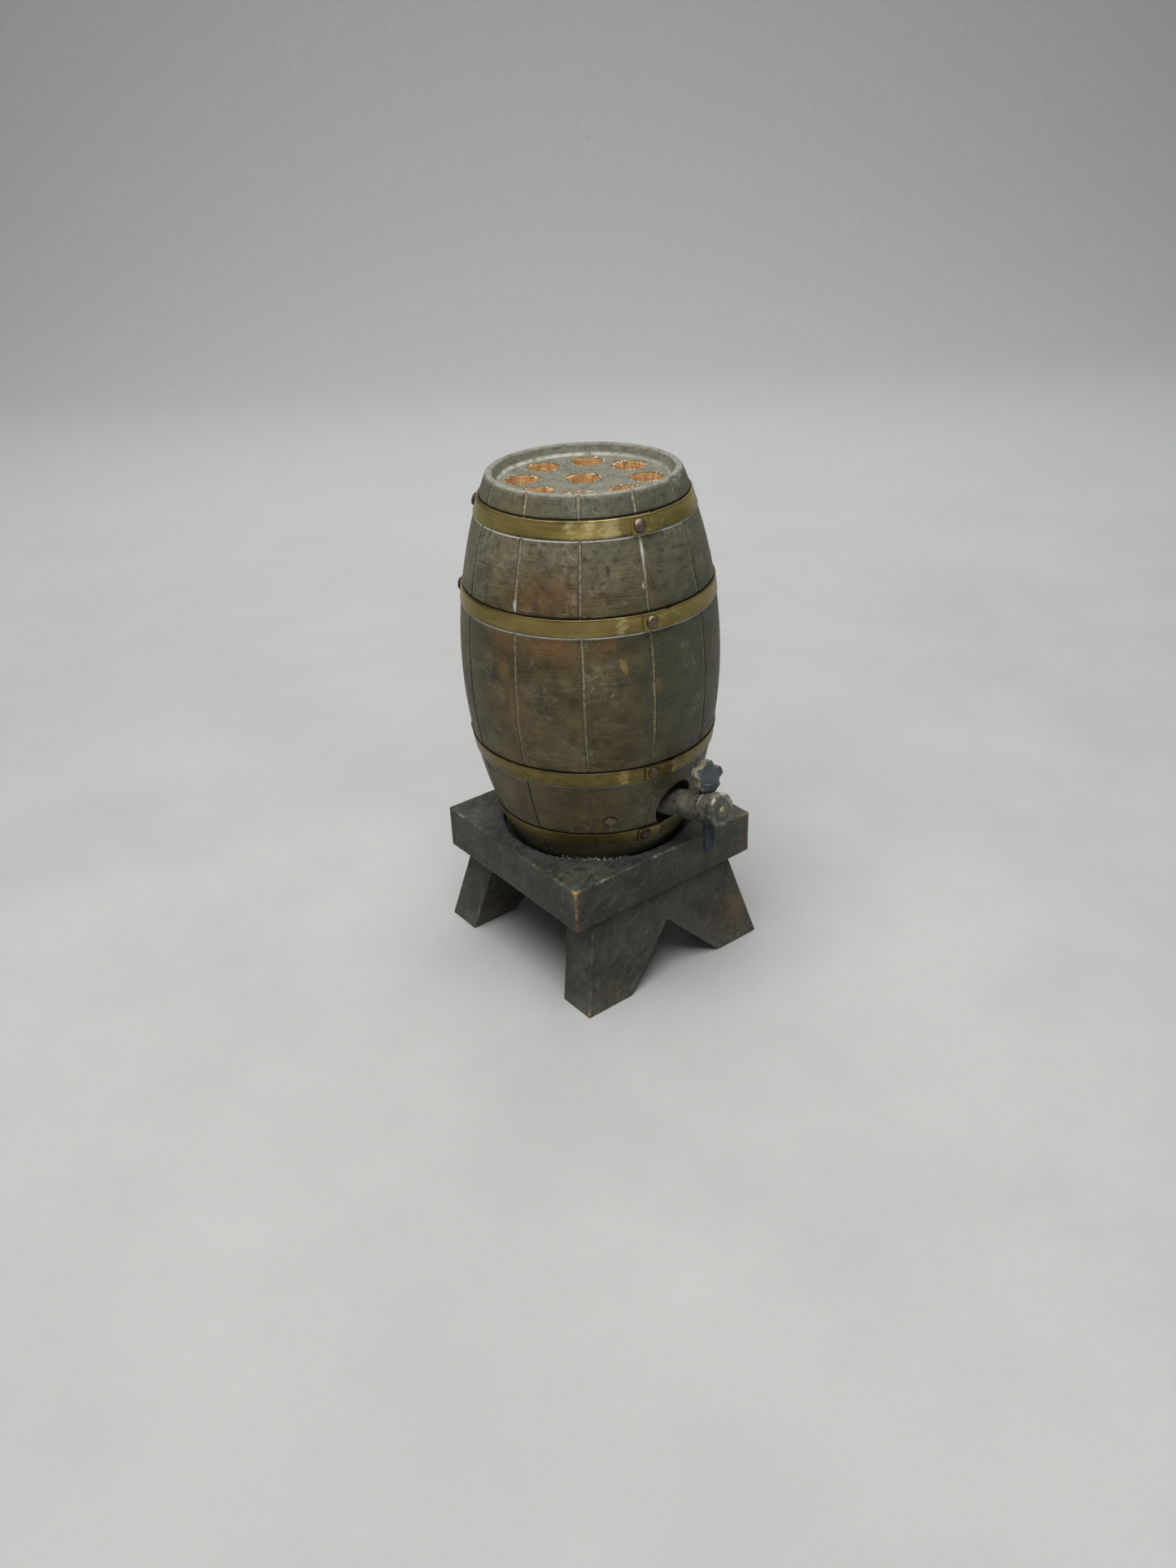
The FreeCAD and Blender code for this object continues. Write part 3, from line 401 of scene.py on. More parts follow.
MATERIALS = {
    "barrel": stained_barrel(),
    "raw": raw_wood("raw_hole_wood", (0.73, 0.445, 0.195), (0.40, 0.205, 0.078), (0.86, 0.68, 0.42)),
    # painted shade: near-black wood inside the tap's recess stands in for its shadow
    "recess": raw_wood("recess_painted_shade", (0.020, 0.017, 0.012), (0.007, 0.006, 0.004), (0.032, 0.027, 0.019)),
    "fibre": raw_wood("torn_fibre", (0.78, 0.68, 0.50), (0.50, 0.38, 0.22), (0.88, 0.84, 0.74)),
    "lint": raw_wood("seat_lint", (0.56, 0.56, 0.51), (0.28, 0.28, 0.25), (0.84, 0.84, 0.80)),
    "brass": aged_brass(),
    "nail": nail_metal(),
    "tap": worn_wood("tap_wood", ((0.036, 0.033, 0.024), (0.118, 0.113, 0.086), (0.285, 0.280, 0.228)),
                     (0.42, 0.40, 0.33), (0.44, 0.38, 0.22), (0.15, 1.0, 0.25), 0.36, 0.9, 0.22),
    "key": worn_wood("key_wood", ((0.050, 0.058, 0.064), (0.084, 0.096, 0.100), (0.145, 0.158, 0.155)),
                     (0.46, 0.46, 0.40), (0.36, 0.31, 0.17), (0.2, 0.9, 0.5), 0.38, 0.7),
    "spout": worn_wood("spout_wood", ((0.020, 0.026, 0.036), (0.036, 0.046, 0.058), (0.070, 0.080, 0.090)),
                       (0.16, 0.16, 0.14), (0.30, 0.24, 0.12), (0.1, 0.1, 1.0), 0.42, 0.6),
    "plug": raw_wood("plug_wood", (0.40, 0.37, 0.24), (0.19, 0.18, 0.12), (0.55, 0.52, 0.38)),
    "plate": worn_wood("plate_stain", ((0.021, 0.022, 0.017), (0.050, 0.051, 0.038), (0.134, 0.128, 0.092)),
                       (0.30, 0.28, 0.20), (0.50, 0.285, 0.110), (0.82, 0.30, 0.48), 0.46, 1.0),
    "board": worn_wood("board_stain", ((0.030, 0.031, 0.025), (0.062, 0.062, 0.048), (0.130, 0.124, 0.090)),
                       (0.25, 0.235, 0.175), (0.48, 0.265, 0.10), (0.72, 0.25, 0.62), 0.50, 1.0),
}


# ---------------------------------------------------------------- mesh helpers
def add_object(mesh, material, smooth_shade=True):
    """Object of a mesh, with one material, in the scene."""
    mesh.materials.append(material)
    for polygon in mesh.polygons:
        polygon.use_smooth = smooth_shade
    piece = bpy.data.objects.new(mesh.name, mesh)
    bpy.context.scene.collection.objects.link(piece)
    return piece


def make_object(name, vertices, faces, material, smooth_shade=True):
    """Object from millimetre vertices."""
    mesh = bpy.data.meshes.new(name)
    mesh.from_pydata([tuple(v) for v in np.asarray(vertices, float) * MM], [], faces)
    mesh.validate()
    return add_object(mesh, material, smooth_shade)


def points_of(piece):
    """Vertex positions in millimetres."""
    co = np.zeros(len(piece.data.vertices) * 3)
    piece.data.vertices.foreach_get("co", co)
    return co.reshape(-1, 3) / MM


def paint(piece, limit=1.0, **masks):
    """Store one number from 0 to a limit, or one vector in millimetres, per vertex under each name."""
    attributes = piece.data.attributes
    for name, values in masks.items():
        values = np.asarray(values, float)
        if values.ndim == 1:
            made = attributes.get(name) or attributes.new(name, "FLOAT", "POINT")
            made.data.foreach_set("value", np.clip(values, 0.0, limit).astype(np.float32))
        else:
            made = attributes.new(name, "FLOAT_VECTOR", "POINT")
            made.data.foreach_set("vector", (values * MM).astype(np.float32).ravel())


def grid_faces(rows, columns):
    """Quads between stacked rings."""
    faces = []
    for low in range(0, (rows - 1) * columns, columns):
        for column in range(columns):
            following = (column + 1) % columns
            faces.append((low + column, low + following, low + columns + following, low + columns + column))
    return faces


def fan_ends(rings, low, high):
    """Vertices and faces of stacked rings, each end closed by a fan round one point."""
    columns = len(rings[0])
    vertices = np.concatenate([*rings, [low, high]])
    faces = grid_faces(len(rings), columns)
    first, top = len(vertices) - 2, (len(rings) - 1) * columns
    for column in range(columns):
        following = (column + 1) % columns
        faces += [(first, following, column), (first + 1, top + column, top + following)]
    return vertices, faces


def flat_ends(rings):
    """Vertices and faces of stacked rings, each end closed by one flat face."""
    rows, columns = len(rings), len(rings[0])
    faces = grid_faces(rows, columns)
    faces.append(tuple(range(columns - 1, -1, -1)))
    faces.append(tuple(range((rows - 1) * columns, rows * columns)))
    return np.concatenate(rings), faces


def lathe(path, columns):
    """Vertices and faces of a closed turned form. path is (radius, height) from one axis end to the other."""
    angles = np.linspace(0.0, FULL_TURN, columns, endpoint=False)
    rings = [np.stack([r * np.cos(angles), r * np.sin(angles), np.full(columns, z)], 1)
             for r, z in path[1:-1]]
    return fan_ends(rings, (0.0, 0.0, path[0][1]), (0.0, 0.0, path[-1][1]))


def joined(parts):
    """Vertices and faces of several meshes put into one."""
    vertices, faces, base = [], [], 0
    for part_vertices, part_faces in parts:
        vertices.append(part_vertices)
        faces += [tuple(index + base for index in face) for face in part_faces]
        base += len(part_vertices)
    return np.concatenate(vertices), faces


def moved(vertices, matrix):
    """Millimetre points put through a matrix in metres."""
    return np.array([(matrix @ Vector(v * MM)) / MM for v in vertices])


def facing_out(piece):
    """Turn every face of a closed mesh outward."""
    bm = bmesh.new()
    bm.from_mesh(piece.data)
    bmesh.ops.recalc_face_normals(bm, faces=bm.faces)
    bm.to_mesh(piece.data)
    bm.free()


def convexity(piece, rounds):
    """How much each vertex of a dense mesh stands out, in millimetres, smoothed by some rounds."""
    mesh = piece.data
    points = points_of(piece)
    ends = np.zeros(len(mesh.edges) * 2, np.int64)
    mesh.edges.foreach_get("vertices", ends)
    ends = ends.reshape(-1, 2)
    normals = np.zeros(len(points) * 3)
    mesh.vertices.foreach_get("normal", normals)
    count = np.bincount(ends.ravel(), minlength=len(points)).astype(float)

    def spread(values):
        """Mean of each vertex's neighbours."""
        total = np.zeros_like(values)
        np.add.at(total, ends[:, 0], values[ends[:, 1]])
        np.add.at(total, ends[:, 1], values[ends[:, 0]])
        return (total.T / count).T

    stand = ((points - spread(points)) * normals.reshape(-1, 3)).sum(1)
    for _ in range(rounds):
        stand = 0.5 * stand + 0.5 * spread(stand)
    return stand


def hand_over(piece, body, slot, *nodes):
    """Put a piece on its body and hide the CAD nodes it stands for; its finish slot is not used."""
    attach(piece, body)
    if nodes:
        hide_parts(*nodes)


# ---------------------------------------------------------------- barrel
def barrel_columns():
    """Azimuths of the barrel's mesh columns: close together at the kerfs."""
    half = KERF_GAP / 2.0
    near = np.array([0.0, 0.28, 0.52, 0.66, 0.78, 0.95, 1.4]) / BULGE
    far = np.linspace(near[-1], half, 13)[1:-1]
    side = np.concatenate([near, far])
    one = np.concatenate([-side[:0:-1], side, [half]])
    return np.sort(np.concatenate([FIRST_KERF + KERF_GAP * k + one for k in range(KERF_COUNT)]))


def profile_rows():
    """Rows of the barrel's outside from the foot centre to the head centre: radius, height, kind.

    The kinds are 0 foot, 1 side, 2 rounded rim, 3 inner bevel and 4 head.
    """
    rows = [(r, FOOT, 0) for r in (2.0, 8.0, 16.0, 24.0, 32.0, 36.0, 37.6)]
    rows += [(FOOT_FACE, FOOT, 0), (38.75, FOOT + 0.25, 1), (39.1, FOOT + 0.65, 1)]
    levels = {*np.round(np.arange(FOOT_CORNER, RIM_CORNER, 0.8), 3), RIM_CORNER}
    for middle, side in itertools.product(HOOPS.values(), (-1.0, 1.0)):
        step = middle + side * (HOOP_HALF + MARGIN)
        levels |= {round(step + shift, 3) for shift in (-0.45, -0.2, -0.05, 0.05, 0.2, 0.45)}
    for level in sorted(levels):
        under_hoop = any(abs(level - middle) < HOOP_HALF + MARGIN for middle in HOOPS.values())
        rows.append((float(stave_radius(level)) - REBATE * under_hoop, level, 1))
    for angle in np.radians(np.arange(15.0, 91.0, 15.0)):
        rows.append((RIM_MIDDLE + RIM_ROUND * math.cos(angle),
                     RIM_CORNER - 0.3 + RIM_ROUND * math.sin(angle), 2))
    rows += [(37.3, 220.42, 2), (RIM_INNER, BEVEL_TOP, 2)]
    for t in np.arange(1, 6) / 6.0:
        rows.append((RIM_INNER + (HEAD_RADIUS - RIM_INNER) * t, BEVEL_TOP + (HEAD + 0.15 - BEVEL_TOP) * t, 3))
    rows += [(HEAD_RADIUS, HEAD + 0.12, 3), (HEAD_RADIUS - 0.35, HEAD, 4)]
    rows += [(r, HEAD, 4) for r in np.arange(HEAD_RADIUS - 1.2, 0.9, -1.1)]
    return rows


def carve_kerfs(azimuth, radius, level, side_row, round_row):
    """Radius of every grid point with the kerfs sunk, and how far each point lies in one."""
    turn = azimuth - FIRST_KERF + KERF_GAP / 2.0
    arc = (turn % KERF_GAP - KERF_GAP / 2.0) * radius
    shape = arc.shape
    index = np.broadcast_to(np.floor(turn / KERF_GAP), shape).ravel()
    place = np.stack([index * 7.3, np.broadcast_to(level, shape).ravel(), index * 0.0], 1)
    wander = noise(place, 0.045, 3).reshape(shape) * 0.32
    ragged = noise(place + 40.0, 0.5, 4).reshape(shape) * 0.16
    off = np.abs(arc + wander)
    half = (KERF_HALF - 0.32 * smooth(125.0, 100.0, level)) * (1.0 + ragged)
    cut = 1.0 - smooth(half - 0.16, half + 0.12, off)
    depth = KERF_DEPTH * (1.0 + 0.25 * noise(place + 90.0, 0.35, 5).reshape(shape))
    bottom = np.minimum(radius, stave_radius(np.clip(level, FOOT_CORNER, RIM_TOP - 0.1)) - depth)
    outside = side_row | round_row
    turned = np.where(outside, radius + (bottom - radius) * cut, radius)
    turned = turned - np.where(side_row, 0.05 * peak(off, half, 0.35), 0.0)
    return turned, np.where(outside & (radius > bottom + 0.05), cut, 0.0)


def make_barrel():
    """Turned barrel with kerfs, hoop rebates, torn holes in its head and the tap's recess."""
    azimuth = barrel_columns()[None, :]
    radius, level, kind = (column[:, None] for column in np.array(profile_rows()).T)
    turned, kerf = carve_kerfs(azimuth, radius, level, kind == 1, kind == 2)
    shape = turned.shape
    azimuths, levels, kinds = (np.broadcast_to(a, shape).ravel() for a in (azimuth, level, kind))
    away = np.stack([np.cos(azimuths), np.sin(azimuths), np.zeros(turned.size)], 1)
    points = away * turned.ravel()[:, None]
    points[:, 2] = levels
    on_side = np.isin(kinds, (1, 2)).astype(float)
    uneven = (0.05 * noise(points, 0.07, 11) + 0.018 * noise(points * (0.3, 0.3, 1.0), 1.3, 12)
              + 0.02 * noise(points, 0.6, 13))
    points += away * ((uneven - 0.06) * on_side)[:, None]
    head_wave = 0.10 * noise(points, 0.25, 14) + 0.05 * noise(points, 1.1, 15) - 0.08
    points[:, 2] += np.where(kinds >= 3, head_wave, 0.0)
    # a chip out of the rim's outer edge, right of the tap's side
    chip = blobs(azimuths, levels, [(-68.0, 219.6, 4.0, 1.6, 1.0), (-60.0, 219.9, 2.0, 1.2, 0.7)]) * on_side
    points -= away * (chip * 1.3)[:, None]
    points[:, 2] -= chip * 0.9
    cosine, sine = math.cos(BARREL_TURN), math.sin(BARREL_TURN)
    points = points @ np.array([[cosine, sine, 0.0], [-sine, cosine, 0.0], [0.0, 0.0, 1.0]])
    points, faces = fan_ends(points.reshape(*shape, 3), (0.0, 0.0, FOOT), (0.0, 0.0, HEAD))
    barrel = make_object("barrel_turned", points, faces, MATERIALS["barrel"])
    paint_barrel(barrel, points, np.append(kerf, [0.0, 0.0]), np.append(kinds, [0.0, 0.0]))
    cut_openings(barrel)
    hand_over(barrel, "barrel", "barrel_wood", "barrel_body")


def paint_barrel(barrel, points, kerf, kind):
    """Masks for the barrel's material, in its own azimuths and heights as they stand on the stand."""
    az = np.arctan2(points[:, 1], points[:, 0])
    lev = points[:, 2]
    degrees = np.degrees(az)
    side = kind == 1
    warm = blobs(az, lev, [
        (-143.0, 165.0, 11.0, 6.0, 1.0), (-146.0, 185.0, 12.0, 7.0, 0.8), (-156.0, 182.0, 10.0, 4.0, 0.6),
        (-166.0, 164.0, 7.0, 5.0, 0.7), (-121.0, 164.5, 5.0, 3.0, 0.75), (-163.0, 140.0, 10.0, 16.0, 0.45),
        (-130.0, 182.0, 9.0, 3.0, 0.35), (-98.0, 180.0, 4.0, 3.0, 0.25), (-150.0, 122.0, 24.0, 16.0, 0.20),
        (-120.0, 130.0, 9.0, 22.0, 0.15), (-152.0, 92.0, 18.0, 10.0, 0.25), (-178.0, 92.0, 10.0, 8.0, 0.35),
        (-128.0, 90.0, 9.0, 7.0, 0.2), (20.0, 180.0, 26.0, 16.0, 0.6), (70.0, 120.0, 22.0, 26.0, 0.5),
        (140.0, 150.0, 18.0, 22.0, 0.5), (-40.0, 150.0, 16.0, 24.0, 0.5)])
    cold = smooth(-128.0, -88.0, degrees) * (1.0 - smooth(-20.0, 30.0, degrees))
    cold = cold * (0.45 + 0.55 * smooth(100.0, 150.0, lev))
    cold = np.maximum(cold, 0.8 * smooth(186.0, 204.0, lev) * smooth(-170.0, -118.0, degrees))
    cold = np.maximum(cold, 0.6 * smooth(70.0, 63.0, lev))
    ledge, hoop_gap_shade = np.zeros(len(az)), np.zeros(len(az))
    for name, amount in (("rim", 1.35), ("upper", 1.25), ("lower", 0.45), ("foot", 0.1)):
        above = lev - HOOPS[name]
        ledge += amount * peak(above, -HOOP_HALF - MARGIN - 0.05, 0.26)
        # painted shade: dark under each hoop and in the gap just above it
        hoop_gap_shade = np.maximum(hoop_gap_shade, 1.0 - smooth(HOOP_HALF - 0.2, HOOP_HALF + 0.3, np.abs(above)))
        hoop_gap_shade = np.maximum(hoop_gap_shade, 0.95 * peak(above, HOOP_HALF + 0.45, 0.45))
    ledge = ledge * side * (0.75 + 0.25 * np.cos(az + math.radians(150.0)))
    bright = blobs(az, lev, [(-101.0, 200.0, 4.0, 6.0, 0.65), (-161.0, 179.0, 4.0, 2.0, 0.45)])
    # dust film on the rim, bevel and head; the head's extra 0.20 is painted light on the top
    film = 0.80 * (kind >= 2) + 0.20 * (kind == 4) + 0.34 * smooth(210.0, 214.0, lev) * side
    haze = blobs(az, lev, [(-172.0, 200.0, 14.0, 5.0, 1.0), (-140.0, 202.0, 12.0, 3.0, 0.5)])
    low = smooth(120.0, 100.0, lev) * (1.0 - 0.8 * smooth(-150.0, -138.0, degrees))
    pack = 0.80 - 0.65 * low + 0.25 * smooth(200.0, 212.0, lev)
    pack += 0.5 * blobs(az, lev, [
        (-101.0, 199.0, 4.0, 7.0, 1.0), (-161.0, 180.0, 4.0, 6.0, 0.6), (-131.0, 155.0, 4.0, 14.0, 0.4),
        (-101.0, 150.0, 4.0, 20.0, 0.5), (-101.0, 92.0, 4.0, 10.0, 0.8)])
    corner = peak(lev, 216.3, 0.55) * (kind == 3)
    crest = peak(lev, 220.2, 0.35) * np.isin(kind, (2, 3))
    seam = np.where(az > math.radians(49.0), az - FULL_TURN, az)
    paint(barrel, warm=warm, kerf=kerf, pack=pack, shade=hoop_gap_shade * side,
          cold=np.clip(cold + 0.5 * smooth(60.0, 150.0, degrees) - warm * 0.7, 0.0, 1.0),
          # painted light: the upper staves lighter toward the top
          upper=smooth(172.0, 200.0, lev) * side * (1.0 - smooth(206.0, 212.0, lev)),
          ledge=np.maximum(ledge, bright * kerf),
          film=np.maximum(film, 0.25 * haze),
          crease=corner * (0.45 + 0.55 * smooth(-0.2, 0.8, np.cos(az - math.radians(100.0)))) + 0.28 * crest,
          rub=blobs(az, lev, [
              (-170.0, 196.0, 9.0, 9.0, 0.75), (-118.0, 189.0, 5.0, 3.0, 0.5), (-122.0, 160.0, 7.0, 3.0, 0.3),
              (-148.0, 203.5, 8.0, 2.2, 0.8), (-126.0, 186.0, 5.0, 4.0, 0.5), (-152.0, 145.0, 9.0, 5.0, 0.6),
              (-147.0, 136.0, 8.0, 5.0, 0.5), (-163.0, 122.0, 8.0, 10.0, 0.35), (-92.0, 180.0, 3.0, 2.0, 0.2),
              (-120.0, 157.0, 6.0, 1.5, 0.6), (-95.0, 65.0, 14.0, 3.0, 0.6)]),
          strip=np.stack([seam * BULGE, lev, np.zeros(len(az))], 1))


def hole_centres():
    """Plan centres of the nine head holes."""
    angles = BARREL_TURN + FULL_TURN / HOLE_COUNT * np.arange(HOLE_COUNT)
    return [(0.0, 0.0)] + [(HOLE_RING * math.cos(a), HOLE_RING * math.sin(a)) for a in angles]


def torn_cutter(centre, seed):
    """Cutter for one drilled hole, a little wider at the top and its mouth torn out unevenly."""
    columns = 72
    angles = np.linspace(0.0, FULL_TURN, columns, endpoint=False)
    ring = np.stack([np.cos(angles), np.sin(angles), np.full(columns, seed * 3.7)], 1)
    tear = np.clip(noise(ring, 2.2, seed) * 1.2 + noise(ring, 6.0, seed + 50) * 0.6, 0.0, None)
    rings = []
    for height, spread, wider in ((-HOLE_DEPTH, 0.0, 0.0), (-20.0, 0.0, 0.1), (-6.0, 0.0, 0.3),
                                  (-2.2, 0.05, 0.42), (-1.3, 0.15, 0.48), (-0.7, 0.4, 0.52),
                                  (-0.3, 0.8, 0.56), (0.1, 1.05, 0.58), (1.5, 1.2, 0.58)):
        level = HEAD + height
        wall = HOLE_RADIUS + wider + 0.04 * noise(ring + level, 5.0, 77) + spread * tear * 0.85
        rings.append(np.stack([centre[0] + wall * np.cos(angles), centre[1] + wall * np.sin(angles),
                               np.full(columns, level)], 1))
    return flat_ends(rings)


def tap_matrix(shift=0.0):
    """Frame of the tap: local X outward along the tap, local Z its up. Metres."""
    start = float(stave_radius(TAP_LEVEL)) * MM
    turn = Matrix.Rotation(BARREL_TURN + TAP_AZIMUTH, 4, "Z")
    place = Matrix.Translation((start, 0.0, TAP_LEVEL * MM))
    aim = Matrix.Rotation(-TAP_TILT, 4, "Y") @ Matrix.Rotation(-TAP_ROLL, 4, "X")
    return turn @ place @ aim @ Matrix.Translation((shift * MM, 0.0, 0.0))


def cut_openings(barrel):
    """Cut the head holes and the round recess behind the tap, and colour the cut faces."""
    parts = [torn_cutter(centre, index + 1) for index, centre in enumerate(hole_centres())]
    path = [(0.0, RECESS_FLOOR), (RECESS_RADIUS - 0.2, RECESS_FLOOR), (RECESS_RADIUS, RECESS_FLOOR + 0.4),
            (RECESS_RADIUS, 0.0), (RECESS_RADIUS, RECESS_OUTER), (0.0, RECESS_OUTER)]
    vertices, faces = lathe(path, 96)
    parts.append((moved(vertices, tap_matrix() @ Matrix.Rotation(QUARTER_TURN, 4, "Y")), faces))
    cutter = make_object("cutter", *joined(parts), MATERIALS["raw"])
    modifier = barrel.modifiers.new("openings", "BOOLEAN")
    modifier.operation, modifier.object, modifier.solver = "DIFFERENCE", cutter, "EXACT"
    graph = bpy.context.evaluated_depsgraph_get()
    solid = barrel.data
    barrel.data = bpy.data.meshes.new_from_object(barrel.evaluated_get(graph))
    barrel.modifiers.clear()
    bpy.data.meshes.remove(solid)
    bpy.data.objects.remove(cutter)
    colour_cuts(barrel)


def colour_cuts(barrel):
    """Raw wood inside the head holes; painted shade, a near-black wood, inside the tap's recess."""
    barrel.data.materials.clear()
    for name in ("barrel", "raw", "recess"):
        barrel.data.materials.append(MATERIALS[name])
    centres = np.zeros(len(barrel.data.polygons) * 3)
    barrel.data.polygons.foreach_get("center", centres)
    centres = centres.reshape(-1, 3) / MM
    inside = np.zeros(len(centres), bool)
    for x, y in hole_centres():
        inside |= np.hypot(centres[:, 0] - x, centres[:, 1] - y) < HOLE_RADIUS + 2.2
    inside &= (centres[:, 2] < HEAD - 0.22) & (centres[:, 2] > HEAD - HOLE_DEPTH - 1.0)
    back = tap_matrix().inverted()
    local = centres @ np.array(back.to_3x3()).T + np.array(back.translation) / MM
    deep = np.hypot(centres[:, 0], centres[:, 1]) < stave_radius(centres[:, 2]) - 0.3
    recess = deep & (np.hypot(local[:, 1], local[:, 2]) < RECESS_RADIUS + 0.2)
    recess &= local[:, 0] > RECESS_FLOOR - 0.6
    # slot 2 puts the painted shade of the recess material on the recess faces
    index = np.where(recess, 2, np.where(inside, 1, 0))
    barrel.data.polygons.foreach_set("material_index", index.astype(np.int32))
    barrel.data.update()


def make_fibres():
    """Torn flakes of wood lifted at the mouths of the head holes."""
    rng = np.random.default_rng(7)
    sides = [(k + a, k + b, k + 3 + b, k + 3 + a) for k in (0, 3) for a, b in ((0, 1), (1, 2), (2, 0))]
    faces = sides + [(0, 2, 1), (6, 7, 9), (7, 8, 9), (8, 6, 9)]
    parts = []
    for x, y in [centre for centre in hole_centres() for _ in range(20)]:
        angle = rng.uniform(0.0, FULL_TURN)
        reach = HOLE_RADIUS + rng.uniform(0.50, 1.30)
        root = np.array([x + reach * math.cos(angle), y + reach * math.sin(angle), HEAD - 0.30])
        lean = angle + rng.uniform(-0.9, 0.9) + math.pi * 0.5 * rng.choice((-1, 1))
        length, width = rng.uniform(0.5, 1.3), rng.uniform(0.22, 0.50)
        run = np.array([math.cos(lean), math.sin(lean), 0.0])
        side = np.array([-run[1], run[0], 0.0]) * width
        up = np.array([0.0, 0.0, rng.uniform(0.18, 0.42)])
        vertices = []
        for share, spread in ((0.0, 0.7), (0.35, 1.0), (0.7, 0.75)):
            point = root + run * length * share
            vertices += [point + side * spread, point - side * spread,
                         point + up * (0.7 + 0.5 * share) + side * spread * 0.25]
        vertices.append(root + run * length + up * rng.uniform(0.4, 1.0))
        parts.append((vertices, faces))
    fibres = make_object("hole_fibres", *joined(parts), MATERIALS["fibre"], False)
    hand_over(fibres, "barrel", "raw_wood")


make_barrel()
make_fibres()


# ---------------------------------------------------------------- hoops and nails
def hoop_path(name, loose):
    """Azimuths, lift and looseness along a strip: it starts on top at the lap and ends underneath."""
    begin = LAP_NAIL - math.radians(4.0)
    finish = LAP_NAIL + math.radians(360.0 + 8.0)
    lap_end = begin + math.radians(20.0)
    azimuth = np.concatenate([np.linspace(begin, lap_end, 60)[:-1], np.linspace(lap_end, finish, 520)])
    travel = np.degrees(azimuth - begin)
    lift = (HOOP_THICK + 0.06) * (1.0 - smooth(12.5, 18.0, travel))
    ring = np.stack([np.cos(azimuth), np.sin(azimuth), np.full(len(azimuth), len(name) * 1.7)], 1)
    wave = 0.06 * noise(ring, 2.5, 21) + 0.04 * noise(ring, 7.0, 22)
    wave = wave * smooth(14.0, 30.0, travel) * (1.0 - smooth(340.0, 352.0, travel))
    return azimuth, lift + wave, loose * (0.5 + 0.5 * noise(ring, 1.6, 23 + len(name)))


def strip_section():
    """Outline of the strip, thickness outward and height, with small rounded corners."""
    corner = 0.16
    high, out = HOOP_HALF - corner, HOOP_THICK - corner
    section = []
    for middle, height, first, flat in (
            (out, -high, -90.0, [(HOOP_THICK, v) for v in (-2.2, -1.1, 0.0, 1.1, 2.2)]), (out, high, 0.0, []),
            (corner, high, 90.0, [(0.0, v) for v in (2.2, 0.0, -2.2)]), (corner, -high, 180.0, [])):
        for angle in np.radians(first + np.array([0.0, 30.0, 60.0, 90.0])):
            section.append((middle + corner * math.cos(angle), height + corner * math.sin(angle)))
        section += flat
    return np.array(section).T


def make_hoop(name, tone, loose):
    """One flat brass strip, lapped over itself, standing off a little at its narrow edge."""
    middle = HOOPS[name]
    azimuth, lift, stand = hoop_path(name, loose)
    out, height = strip_section()
    toward_end = 1.0 if middle > MIDDLE else -1.0
    away = np.clip(height * toward_end / HOOP_HALF, 0.0, 1.0) ** 1.5
    base = stave_radius(middle + height) - REBATE + 0.05 + out
    radius = (base + lift[:, None] + away * stand[:, None]) - 0.03 * (height / HOOP_HALF) ** 2
    ring = np.stack([np.cos(azimuth) * 3.0, np.sin(azimuth) * 3.0, np.full(len(azimuth), middle)], 1)
    level = middle + height + (0.10 * noise(ring, 0.9, 31))[:, None]
    turned = (azimuth + BARREL_TURN)[:, None]
    vertices, faces = flat_ends(np.stack([radius * np.cos(turned), radius * np.sin(turned), level], 2))
    hoop = make_object("brass_hoop_" + name, vertices, faces, MATERIALS["brass"])
    facing_out(hoop)
    travel = np.degrees(azimuth - azimuth[0])
    before = 360.0 - travel
    rub = 0.85 * peak(before, 9.5, 3.6) + 0.50 * peak(travel, 14.0, 8.0) + 0.25 * peak(travel, 45.0, 14.0)
    # painted highlight: a pale band across the rim hoop's front, carried in the rub mask
    if name == "rim":
        rub += 0.56 * peak(before, 25.0, 17.0)
    if name == "foot":
        rub *= 0.3
    along, across = (a.ravel() for a in np.meshgrid(azimuth * BULGE + middle * 9.0, height, indexing="ij"))
    paint(hoop, limit=3.0, tone=np.full(radius.size, tone), rub=np.repeat(rub, len(height)),
          edge=smooth(2.5, 3.25, np.abs(across)), strip=np.stack([along, across, along * 0.0], 1))
    hand_over(hoop, "barrel", "hoop_brass", "hoop_" + name)


def nail_matrix(azimuth, level, lift):
    """Frame of a nail: local Z points out of the barrel, square to its surface."""
    slope = math.asin((level - MIDDLE) / CURVE)
    turn = Matrix.Rotation(azimuth + BARREL_TURN, 4, "Z")
    place = Matrix.Translation(((float(stave_radius(level)) + lift) * MM, 0.0, level * MM))
    return turn @ place @ Matrix.Rotation(QUARTER_TURN - slope, 4, "Y")


def make_nails(name, places, node, tone):
    """Domed nail heads, each a little out of true, on short shanks."""
    path = [(0.0, -9.0), (0.3, -9.0), (0.78, -7.6), (0.8, -0.1), (2.3, -0.12), (2.62, 0.02), (2.66, 0.18),
            (2.55, 0.42), (2.3, 0.74), (1.9, 1.04), (1.4, 1.24), (0.8, 1.36), (0.3, 1.39), (0.0, 1.4)]
    plain, faces = lathe(path, 40)
    parts, edges = [], []
    for index, place in enumerate(places):
        shape = np.array(plain)
        bumps = noise(shape + index * 9.1, 0.9, 61) * 0.05
        head = shape[:, 2] > -0.2
        shape[head] *= (1.0 + 0.04 * noise(shape[head] + index * 5.0, 0.35, 62))[:, None]
        shape[:, 2] += np.where(head & (shape[:, 2] > 0.3), bumps, 0.0)
        edges.append(smooth(2.25, 2.6, np.hypot(shape[:, 0], shape[:, 1])))
        parts.append((moved(shape, place), faces))
    nails = make_object(name, *joined(parts), MATERIALS["nail"])
    edges = np.concatenate(edges)
    paint(nails, edge=edges, tone=np.full(len(edges), tone))
    hand_over(nails, "barrel", "nail_metal", node)


